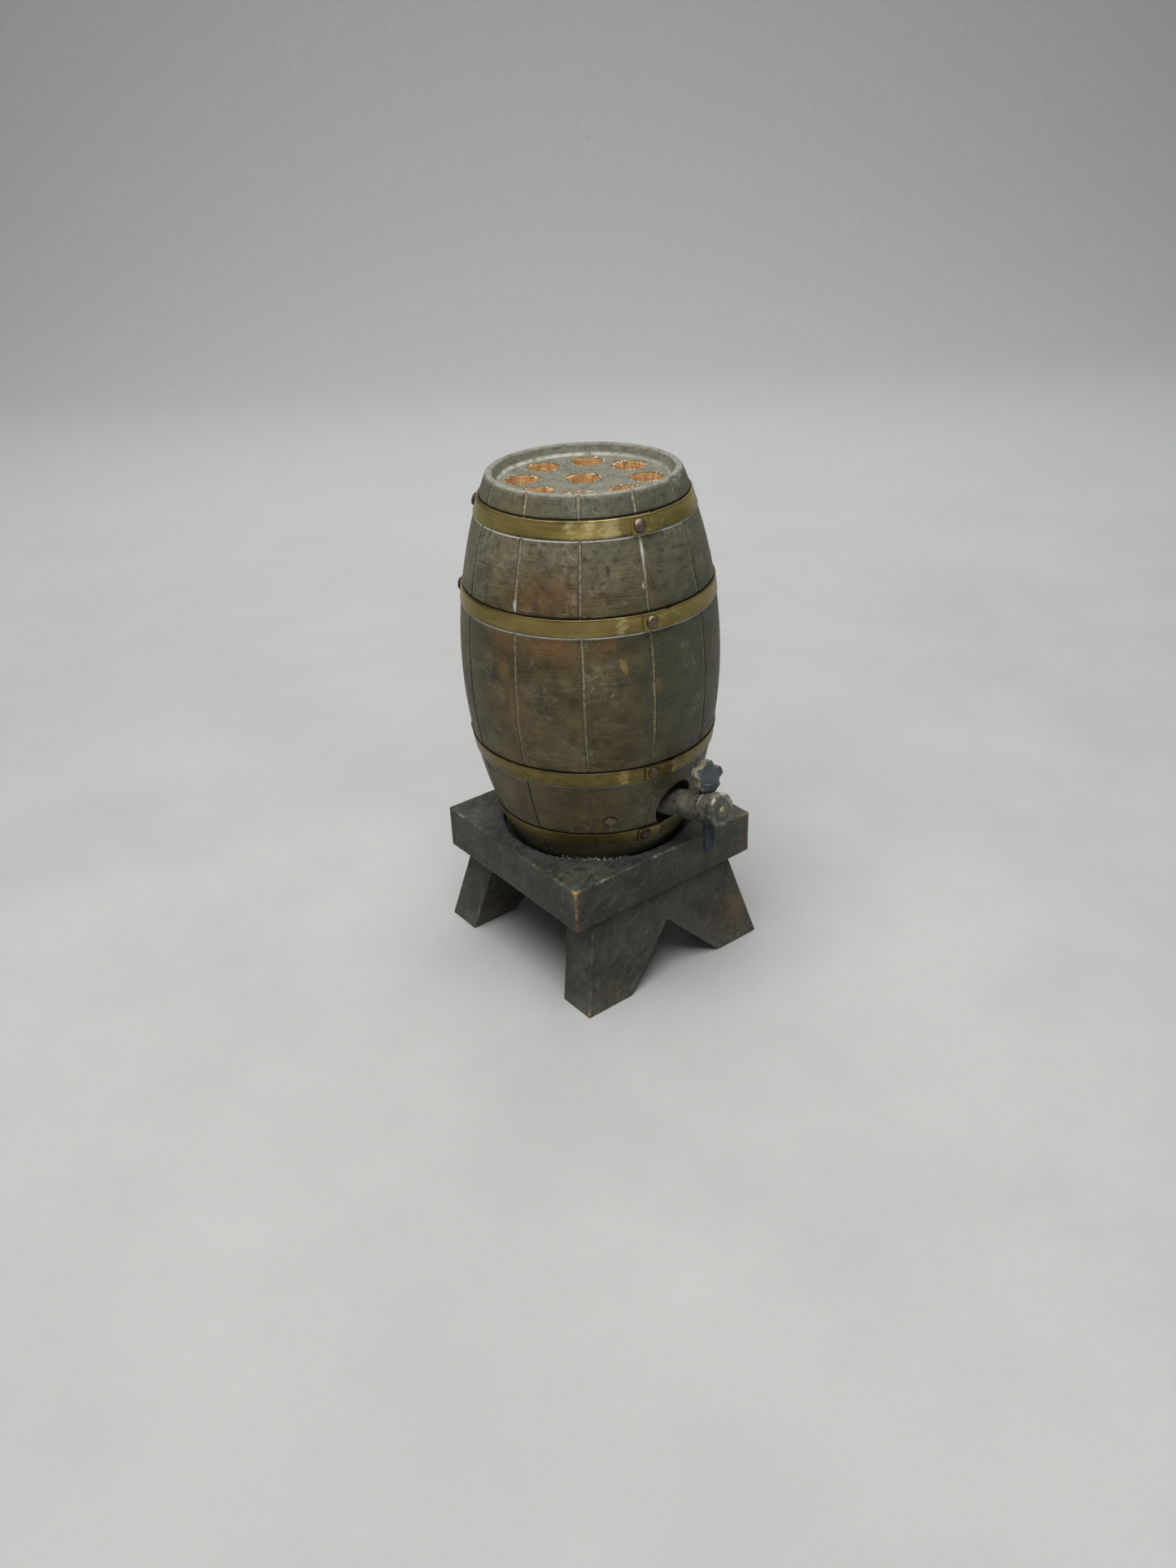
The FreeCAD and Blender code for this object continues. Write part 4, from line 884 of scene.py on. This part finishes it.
def make_hoops_and_nails():
    """Four hoops with three nails each, the first through the lap, and the single nail low on the front."""
    for name, tone, loose in (("rim", 0.0, 0.75), ("upper", 0.35, 0.55),
                              ("lower", 0.95, 0.25), ("foot", 1.0, 0.25)):
        make_hoop(name, tone, loose)
    lift = HOOP_THICK - REBATE + 0.1
    for name, tone in (("rim", 0.0), ("upper", 0.0), ("lower", 0.5), ("foot", 1.0)):
        places = [nail_matrix(LAP_NAIL + k * FULL_TURN / 3, HOOPS[name], lift + HOOP_THICK * (k == 0))
                  for k in range(3)]
        make_nails("domed_nails_" + name, places, "nails_" + name, tone)
    flatter = Matrix.Diagonal((1.14, 1.14, 0.85, 1.0))
    make_nails("single_nail", [nail_matrix(math.radians(-125.0), 83.0, 0.05) @ flatter], "stave_nail", 0.25)


make_hoops_and_nails()


# ---------------------------------------------------------------- tap
def place_in(piece, matrix):
    """Move a mesh, not its object, into a frame."""
    piece.data.transform(matrix)
    piece.data.update()


def worn_lathe(name, corners, step, columns, material, seed, rough=0.05):
    """Turned wooden piece round local Z with a slightly uneven surface."""
    path = [corners[0]]
    for (r0, z0), (r1, z1) in zip(corners, corners[1:]):
        count = max(1, math.ceil(math.hypot(r1 - r0, z1 - z0) / step))
        path += [(r0 + (r1 - r0) * k / count, z0 + (z1 - z0) * k / count) for k in range(1, count + 1)]
    vertices, faces = lathe(path, columns)
    uneven = noise(vertices * (1.0, 1.0, 0.35), 0.8, seed) * rough
    uneven += noise(vertices, 2.2, seed + 1) * rough * 0.4
    reach = np.maximum(np.hypot(vertices[:, 0], vertices[:, 1]), 1e-6)
    vertices[:, :2] *= ((reach + uneven - rough) / reach)[:, None]
    piece = make_object(name, vertices, faces, MATERIALS[material])
    paint(piece, wear=convexity(piece, 2) * 6.0)
    return piece


def make_tap():
    """Tap body, spout and end plug, each turned round its own axis and then put in place."""
    outward = tap_matrix() @ Matrix.Rotation(QUARTER_TURN, 4, "Y")
    body = [(0.0, -TAP_INNER), (5.9, -TAP_INNER), (5.9, 0.0), (6.8, 18.4), (7.0, 18.6), (7.2, 18.9),
            (7.25, 19.3), (7.25, 26.0), (7.15, 26.5), (6.85, 26.95), (6.4, 27.15), (5.7, 27.2),
            (5.3, 26.95), (4.9, 26.9), (4.5, 27.0), (2.4, 27.0), (1.5, 26.8), (0.0, 26.8)]
    tap = worn_lathe("tap_turned", body, 0.45, 110, "tap", 71, 0.08)
    shape = points_of(tap)
    reach, run = np.hypot(shape[:, 0], shape[:, 1]), shape[:, 2]
    upper = 0.35 + 0.65 * smooth(0.3, -0.9, shape[:, 0] / np.maximum(reach, 0.1))
    rims = peak(run, 19.0, 0.45) + 1.2 * peak(run, 26.75, 0.55)
    paint(tap, wear=rims * upper * (reach > 5.0), cold=peak(reach, 4.4, 0.9) * (run > 26.6),
          bare=0.30 * peak(reach, 0.0, 2.4) * (run > 26.4))
    place_in(tap, outward)
    hand_over(tap, "barrel", "tap_wood", "tap_body")
    spout = [(0.0, -18.8), (1.2, -18.75), (2.05, -18.45), (2.55, -17.8), (2.7, -17.0), (2.7, -3.2), (0.0, -3.2)]
    piece = worn_lathe("tap_spout_turned", spout, 0.4, 48, "spout", 81)
    place_in(piece, tap_matrix(KEY_OFFSET))
    hand_over(piece, "barrel", "key_wood", "tap_spout")
    plug = [(0.0, 23.2), (1.3, 23.2), (1.3, 27.05), (1.1, 27.25), (0.0, 27.3)]
    piece = worn_lathe("tap_end_peg", plug, 0.4, 32, "plug", 91)
    place_in(piece, outward)
    hand_over(piece, "barrel", "plug_wood", "tap_end_plug")


def knob_outline(angles):
    """Reach of the knob's edge: a disc with five round bites, one lobe straight up."""
    turn = (angles + QUARTER_TURN + LOBE_GAP / 2.0) % LOBE_GAP - LOBE_GAP / 2.0
    across = BITE_CENTRE * np.sin(turn)
    bite = BITE_CENTRE * np.cos(turn) - np.sqrt(np.clip(BITE_RADIUS ** 2 - across ** 2, 0.0, None))
    reach = np.where(np.abs(across) < BITE_RADIUS, np.minimum(bite, KNOB_RADIUS), KNOB_RADIUS)
    kernel = np.hanning(13) / np.hanning(13).sum()
    padded = np.concatenate([reach[-12:], reach, reach[:12]])
    return np.convolve(padded, kernel, "same")[12:-12]


def make_key():
    """Five-lobed flat knob on a thick neck and stem."""
    count = 240
    angles = np.linspace(0.0, FULL_TURN, count, endpoint=False)
    outline = knob_outline(angles)
    face = [(0.3, 0.0, 0.0), (0.6, 0.0, 0.0), (1.0, 0.0, 1.5), (1.0, 0.0, 0.75), (1.0, 0.10, 0.42),
            (1.0, 0.32, 0.12), (1.0, 0.7, 0.0), (1.0, KNOB_HALF - 0.7, 0.0)]
    steps = [(scale, depth - KNOB_HALF, inset) for scale, depth, inset in face] + [(1.0, 0.0, 0.0)]
    steps += [(scale, KNOB_HALF - depth, inset) for scale, depth, inset in face[::-1]]
    layers = []
    for scale, depth, inset in steps:
        reach = (outline - inset) * scale
        layers.append(np.stack([np.full(count, depth), reach * np.cos(angles),
                                reach * np.sin(angles) + KEY_CENTRE], 1))
        layers[-1][:, 0] += 0.06 * noise(layers[-1], 0.5, 101)
    vertices, faces = fan_ends(layers, (-KNOB_HALF, 0.0, KEY_CENTRE), (KNOB_HALF, 0.0, KEY_CENTRE))
    knob = make_object("key_knob", vertices, faces, MATERIALS["key"])
    facing_out(knob)
    left = smooth(1.5, -3.0, vertices[:, 1])
    wear = np.clip(convexity(knob, 3) * 16.0, 0.0, 1.0)
    paint(knob, wear=wear * (0.35 + 0.65 * left), bare=0.5 * left * (np.abs(vertices[:, 0]) < KNOB_HALF - 0.2))
    place = tap_matrix(KEY_OFFSET) @ Matrix.Rotation(KEY_TURN, 4, "Z")
    place_in(knob, place)
    hand_over(knob, "key", "key_wood", "tap_key")
    neck = [(0.0, -2.4), (3.0, -2.4), (3.0, 7.4), (3.6, 7.45), (3.9, 7.7), (3.9, 10.7), (0.0, 10.7)]
    stem = worn_lathe("key_stem", neck, 0.5, 48, "spout", 111)
    place_in(stem, place)
    hand_over(stem, "key", "key_wood")


make_tap()
make_key()


# ---------------------------------------------------------------- stand
def plate_outline():
    """Points round the plate's edge with their outward directions: straight runs and rounded corners."""
    centres = np.array([(PLATE_X, PLATE_Y), (-PLATE_X, PLATE_Y), (-PLATE_X, -PLATE_Y), (PLATE_X, -PLATE_Y)])
    centres -= np.sign(centres) * PLATE_CORNER
    points, outward = [], []
    for index, centre in enumerate(centres):
        for step in range(7):
            angle = QUARTER_TURN * (index + step / 6.0)
            away = np.array([math.cos(angle), math.sin(angle)])
            points.append(centre + away * PLATE_CORNER)
            outward.append(away)
        start, end = points[-1], centres[(index + 1) % 4] + away * PLATE_CORNER
        for share in np.arange(1, 104) / 104.0:
            points.append(start + (end - start) * share)
            outward.append(away)
    return np.array(points), np.array(outward)


def plate_rings(edge, outward):
    """Rings of the plate from the middle of its underside, up its sides and into the seat."""
    direction = edge / np.hypot(edge[:, 0], edge[:, 1])[:, None]

    def ring(plan, level):
        """One ring at a height."""
        return np.column_stack([plan, np.full(len(plan), level)])

    rings = [ring((edge - outward * 0.85) * scale, PLATE_UNDER)
             for scale in (0.15, 0.4, 0.65, 0.85, 0.96, 0.99)]
    sides = [(0.0, level) for level in (43.2, *np.arange(44.2, 60.5, 1.05), 61.0)]
    for inset, level in ((0.6, PLATE_UNDER), (0.3, 42.08), (0.12, 42.25), (0.0, 42.6), *sides,
                         (0.0, 61.4), (0.12, 61.75), (0.3, 61.92), (0.55, PLATE_TOP)):
        rings.append(ring(edge - outward * inset, level))
    start = edge - outward * 0.55
    for share in (0.03, 0.07, 0.13, *np.linspace(0.2, 0.92, 12)):
        rings.append(ring(start + (direction * (SEAT_RADIUS + 0.9) - start) * share, PLATE_TOP))
    floor = [(reach, SEAT_FLOOR) for reach in (-0.6, -1.2, -1.9, -2.7, -3.6, -6.0, -12.0, -22.0, -34.0)]
    for reach, level in ((0.9, PLATE_TOP), (0.5, 61.98), (0.2, 61.85), (0.05, 61.6), (0.0, 61.2), (0.0, 60.6),
                         (0.0, 60.0), (-0.05, 59.5), (-0.25, 59.15), *floor):
        rings.append(ring(direction * (SEAT_RADIUS + reach), level))
    return rings


def seat_front(points):
    """1 on the part of the seat's rim nearest the front left, falling off round it."""
    angle = np.arctan2(points[:, 1], points[:, 0])
    return peak((np.degrees(angle) + 122.0 + 180.0) % 360.0 - 180.0, 0.0, 34.0)


def make_plate():
    """Stand top with worn edges and a rough shallow seat."""
    points, faces = fan_ends(plate_rings(*plate_outline()), (0.0, 0.0, PLATE_UNDER), (0.0, 0.0, SEAT_FLOOR))
    inset_x, inset_y = PLATE_X - np.abs(points[:, 0]), PLATE_Y - np.abs(points[:, 1])
    over = np.minimum(PLATE_TOP - points[:, 2], points[:, 2] - PLATE_UNDER)
    near = np.sort(np.stack([inset_x, inset_y, over], 1), axis=1)
    edge = smooth(1.5, 0.35, near[:, 1])
    reach = np.hypot(points[:, 0], points[:, 1])
    seat = (reach < SEAT_RADIUS + 0.4) & (points[:, 2] > 58.0)
    lip = peak(reach, SEAT_RADIUS + 0.2, 0.6) * (points[:, 2] > 59.3)
    points[:, 2] += np.where(points[:, 2] > 58.5, 0.04 * noise(points, 0.25, 121) - 0.05, 0.0)
    points[:, 2] += np.where(seat & (points[:, 2] < 59.3), 0.125 * (noise(points, 0.8, 122) - 1.0), 0.0)
    points[:, 2] -= 0.35 * lip * np.clip(0.3 + noise(points, 0.45, 123), 0.0, None)
    dent = 0.5 * np.clip(noise(points, 0.4, 125) - 0.35, 0.0, None) * edge
    hollow = 0.0011 * (1.0 + noise(points, 0.12, 124)) * (np.minimum(inset_x, inset_y) < 2.0)
    points[:, :2] *= (1.0 - hollow - 0.010 * dent)[:, None]
    points[:, 2] -= 0.30 * dent * (points[:, 2] > 60.0)
    plate = make_object("stand_top", points, faces, MATERIALS["plate"])
    facing_out(plate)
    near_corner = peak(np.hypot(points[:, 0] + PLATE_X, points[:, 1] + PLATE_Y), 0.0, 2.3)
    right_corner = peak(np.hypot(points[:, 0] - PLATE_X, points[:, 1] + PLATE_Y), 0.0, 6.0)
    upright = (near[:, 0] < 0.5) & (near[:, 1] < 0.5) & (over > 2.0)
    brow = smooth(60.9, 61.6, points[:, 2])
    left_edge, right_edge = peak(points[:, 0], -49.8, 0.6) * brow, peak(points[:, 1], -47.8, 0.6) * brow
    chips = np.clip(1.6 * noise(points, 0.16, 126) - 0.35, 0.0, 1.0)
    front = seat_front(points)
    paint(plate,
          bare=edge * (near_corner * (0.10 + 0.75 * smooth(57.0, 61.6, points[:, 2])) + 0.22 * right_corner),
          wear=edge * (0.30 * chips + 0.08) + (0.9 * left_edge + 0.55 * right_edge) * chips + 0.4 * upright,
          film=peak(reach, 41.4, 1.3) * front * seat + 0.6 * lip * front,
          shade=np.where(seat & (points[:, 2] < 61.3), 0.75 * smooth(42.6, 39.6, reach) + 0.1, 0.0),
          # partly stain, partly painted shade: a bluish-grey ring on the plate top round the barrel's foot
          cold=peak(reach, SEAT_RADIUS + 2.0, 3.2) * (points[:, 2] > 61.0),
          warm=0.2 * near_corner + 0.35 * right_corner)
    hand_over(plate, "stand", "stand_wood", "stand_plate")


def board_solid(side):
    """Splayed leg board: slanted faces, raked ends, inverted V between the feet, eased edges."""
    outline = [(-BOARD_FOOT, 0.0), (-BOARD_SHOULDER, BOARD_TOP), (BOARD_SHOULDER, BOARD_TOP),
               (BOARD_FOOT, 0.0), (NOTCH_HALF, 0.0), (0.0, NOTCH_TOP), (-NOTCH_HALF, 0.0)]
    slant = BOARD_LEAN / BOARD_TOP
    bm = bmesh.new()
    loops = [[bm.verts.new((x, side * (foot - slant * z), z)) for x, z in outline] for foot in BOARD_FACES]
    bm.faces.new(loops[0])
    bm.faces.new(loops[1][::-1])
    for k in range(len(outline)):
        following = (k + 1) % len(outline)
        bm.faces.new((loops[0][k], loops[1][k], loops[1][following], loops[0][following]))
    bmesh.ops.recalc_face_normals(bm, faces=bm.faces)
    bmesh.ops.bevel(bm, geom=list(bm.edges), offset=0.55, segments=3, profile=0.5, affect="EDGES")

    def slice_at(normal, places):
        """Cut along parallel planes so that the mesh carries enough points for its wear."""
        for place in places:
            parts = [*bm.verts, *bm.edges, *bm.faces]
            bmesh.ops.bisect_plane(bm, geom=parts, dist=1e-4, plane_co=normal * place, plane_no=normal)

    slice_at(Vector((1.0, 0.0, 0.0)), np.arange(-48.0, 48.5, 2.4))
    slice_at(Vector((0.0, 0.0, 1.0)), (1.4, *np.arange(3.0, 40.0, 2.2), 40.6))
    across = Vector((0.0, side, slant)).normalized()
    front, back = (across.y * side * foot for foot in BOARD_FACES)
    slice_at(across, np.linspace(back + 1.2, front - 1.2, 7))
    for run, rise, foot, gap in ((BOARD_TOP, BOARD_FOOT - BOARD_SHOULDER, BOARD_FOOT, -1.2),
                                 (NOTCH_TOP, NOTCH_HALF, NOTCH_HALF, 1.2)):
        for sign in (1.0, -1.0):
            normal = Vector((sign * run, 0.0, rise)).normalized()
            slice_at(normal, [abs(normal.x) * foot + gap])
    return bm


def make_board(node, name, side, seed):
    """Leg board with worn edges."""
    bm = board_solid(side)
    bm.normal_update()
    flatness = []
    for vertex in bm.verts:
        total = sum((face.normal for face in vertex.link_faces), Vector())
        flatness.append(total.length / max(1, len(vertex.link_faces)))
    edge = smooth(0.9997, 0.985, np.array(flatness))
    mesh = bpy.data.meshes.new(name)
    bm.to_mesh(mesh)
    bm.free()
    mesh.transform(Matrix.Scale(MM, 4))
    board = add_object(mesh, MATERIALS["board"])
    points = points_of(board)
    dent = np.clip(noise(points, 0.5, seed + 2) - 0.1, 0.0, None) * edge
    points += (np.array([0.0, side * 40.0, 20.0]) - points) / 40.0 * (0.12 * dent)[:, None]
    points[:, 1] -= side * (0.05 + 0.05 * noise(points, 0.12, seed)) * (np.abs(points[:, 1]) > 40.0)
    points[:, 2] = np.clip(points[:, 2], 0.0, BOARD_TOP)
    mesh.vertices.foreach_set("co", (points * MM).ravel())
    mesh.update()
    x, y, z = points.T
    near_foot = peak(np.hypot(x + BOARD_FOOT, y + 53.0), 0.0, 4.0) * smooth(4.5, 0.5, z)
    chips = np.clip(1.6 * noise(points, 0.2, seed + 3) - 0.2, 0.0, 1.0)
    paint(board, bare=0.8 * edge * near_foot, wear=edge * (0.15 + 0.65 * chips) * (z < 40.5),
          shade=0.8 * smooth(39.6, 41.4, z), cold=0.2 * smooth(20.0, 40.0, z), film=0.12 * smooth(9.0, 1.5, z),
          warm=(peak(np.hypot(x - 38.0, (z - 15.0) * 1.2), 0.0, 11.0)
                + 0.5 * peak(np.hypot(x + 36.0, z - 6.0), 0.0, 6.0)))
    hand_over(board, "stand", "stand_wood", node)


def make_crumbs():
    """Crumbs of dust and torn fibre in the gap at the front of the seat."""
    rng = np.random.default_rng(23)
    corners = np.array([(1, 0, 0), (-1, 0, 0), (0, 1, 0), (0, -1, 0), (0, 0, 1), (0, 0, -1)])
    faces = [(0, 2, 4), (2, 1, 4), (1, 3, 4), (3, 0, 4), (2, 0, 5), (1, 2, 5), (3, 1, 5), (0, 3, 5)]
    parts = []
    for index in range(260):
        front = index % 8 != 0
        angle = math.radians(rng.normal(-131.0, 11.0) if front else rng.normal(-118.0, 38.0))
        reach = rng.uniform(41.0, 42.4)
        size = rng.uniform(0.08, 0.30) if front else rng.uniform(0.05, 0.13)
        level = SEAT_FLOOR + (rng.uniform(0.9, 2.9) if front else 0.2)
        centre = np.array([reach * math.cos(angle), reach * math.sin(angle), level + size * 0.6])
        stretch = np.array([rng.uniform(0.6, 2.3), rng.uniform(0.6, 1.4), rng.uniform(0.5, 1.2)]) * size
        spin = rng.uniform(0.0, math.pi)
        vertices = []
        for corner in corners:
            x, y, z = corner * stretch * rng.uniform(0.7, 1.2)
            vertices.append(centre + (x * math.cos(spin) - y * math.sin(spin),
                                      x * math.sin(spin) + y * math.cos(spin), z))
        parts.append((vertices, faces))
    hand_over(make_object("seat_crumbs", *joined(parts), MATERIALS["lint"], False), "stand", "raw_wood")


make_plate()
make_board("leg_board_front", "front_board", -1.0, 131)
make_board("leg_board_rear", "rear_board", 1.0, 141)
make_crumbs()

for hidden_node in ("dowels_front", "dowels_rear", "pivot_peg"):
    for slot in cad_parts[hidden_node].material_slots:
        slot.material = MATERIALS["raw"]

# ---------------------------------------------------------------- floor, light and camera, metres
CAMERA_PLACE = (-0.3098, -0.4045, 0.3588)
CAMERA_PITCH, CAMERA_YAW, CAMERA_ROLL = math.radians(29.07), math.radians(37.03), math.radians(2.5)
FLOOR_HALF, FLOOR_NEAR, FLOOR_FAR, SWEEP, FLOOR_HEIGHT = 4.0, -3.0, 1.2, 0.9, 4.0


def make_floor():
    """Pale floor that sweeps up behind the object, with painted light making it lighter toward the back."""
    s = Shader("pale_floor")
    fine = s.noise(330.0, 4.0, 0.7)
    depth = s.node("SeparateXYZ", {"Vector": s.place})["Y"]
    cloudy = s.span(s.noise(9.0, 5.0, 0.6), 0.3, 0.7)
    s.color = s.mix((0.360, 0.360, 0.352), (0.395, 0.395, 0.386), cloudy)
    # painted light: lighter toward the back and up the sweep
    s.layer((0.64, 0.65, 0.66), depth, 0.1, 1.3)
    s.layer((0.36, 0.36, 0.35), fine, 0.52, 0.72, 0.45)
    s.done(0.9, s.bump(fine, 0.0004, 0.4), specular=0.2)
    profile = [(FLOOR_NEAR, 0.0), (FLOOR_FAR, 0.0)]
    for angle in np.radians(np.arange(6, 91, 6)):
        profile.append((FLOOR_FAR + SWEEP * math.sin(angle), SWEEP * (1.0 - math.cos(angle))))
    profile.append((FLOOR_FAR + SWEEP, FLOOR_HEIGHT))
    vertices = [(side / MM, forward / MM, up / MM)
                for forward, up in profile for side in (-FLOOR_HALF, FLOOR_HALF)]
    faces = [(k, k + 1, k + 3, k + 2) for k in range(0, len(vertices) - 2, 2)]
    floor = make_object("floor", vertices, faces, s.material)
    floor.rotation_euler = (0.0, 0.0, -CAMERA_YAW)


def make_camera():
    """Camera at the viewing angle of a hand-held photo taken from above the tap's left."""
    cy, sy = math.cos(CAMERA_YAW), math.sin(CAMERA_YAW)
    cp, sp = math.cos(CAMERA_PITCH), math.sin(CAMERA_PITCH)
    forward = Vector((sy * cp, cy * cp, -sp))
    right = Vector((cy, -sy, 0.0))
    down = forward.cross(right)
    cr, sr = math.cos(CAMERA_ROLL), math.sin(CAMERA_ROLL)
    right, down = right * cr + down * sr, down * cr - right * sr
    data = bpy.data.cameras.new("camera")
    data.sensor_width = 36.0
    data.lens = 29.52
    data.clip_start = 0.01
    camera = bpy.data.objects.new("camera", data)
    bpy.context.scene.collection.objects.link(camera)
    turn = Matrix((right, -down, -forward)).transposed()
    camera.matrix_world = Matrix.Translation(CAMERA_PLACE) @ turn.to_4x4()
    bpy.context.scene.camera = camera


def make_light(name, place, size, power):
    """One square soft light aimed at the middle of the object."""
    data = bpy.data.lights.new(name, "AREA")
    data.shape = "SQUARE"
    data.size = size
    data.energy = power
    light = bpy.data.objects.new(name, data)
    bpy.context.scene.collection.objects.link(light)
    aim = Vector((0.0, 0.0, 0.1)) - Vector(place)
    light.rotation_euler = aim.to_track_quat("-Z", "Y").to_euler()
    light.location = place


def make_world():
    """Even pale surroundings."""
    world = bpy.data.worlds.new("studio")
    world.use_nodes = True
    background = world.node_tree.nodes["Background"]
    background.inputs["Color"].default_value = (1.0, 0.99, 0.96, 1.0)
    background.inputs["Strength"].default_value = 0.075
    bpy.context.scene.world = world


make_floor()
make_camera()
make_world()
make_light("key_light", (-0.30, -0.20, 1.45), 1.1, 29.0)
make_light("top_light", (0.30, 0.35, 1.5), 0.9, 9.0)
make_light("front_fill", (-0.9, -1.3, 0.9), 1.0, 1.6)
bpy.context.scene.view_settings.view_transform = "Standard"
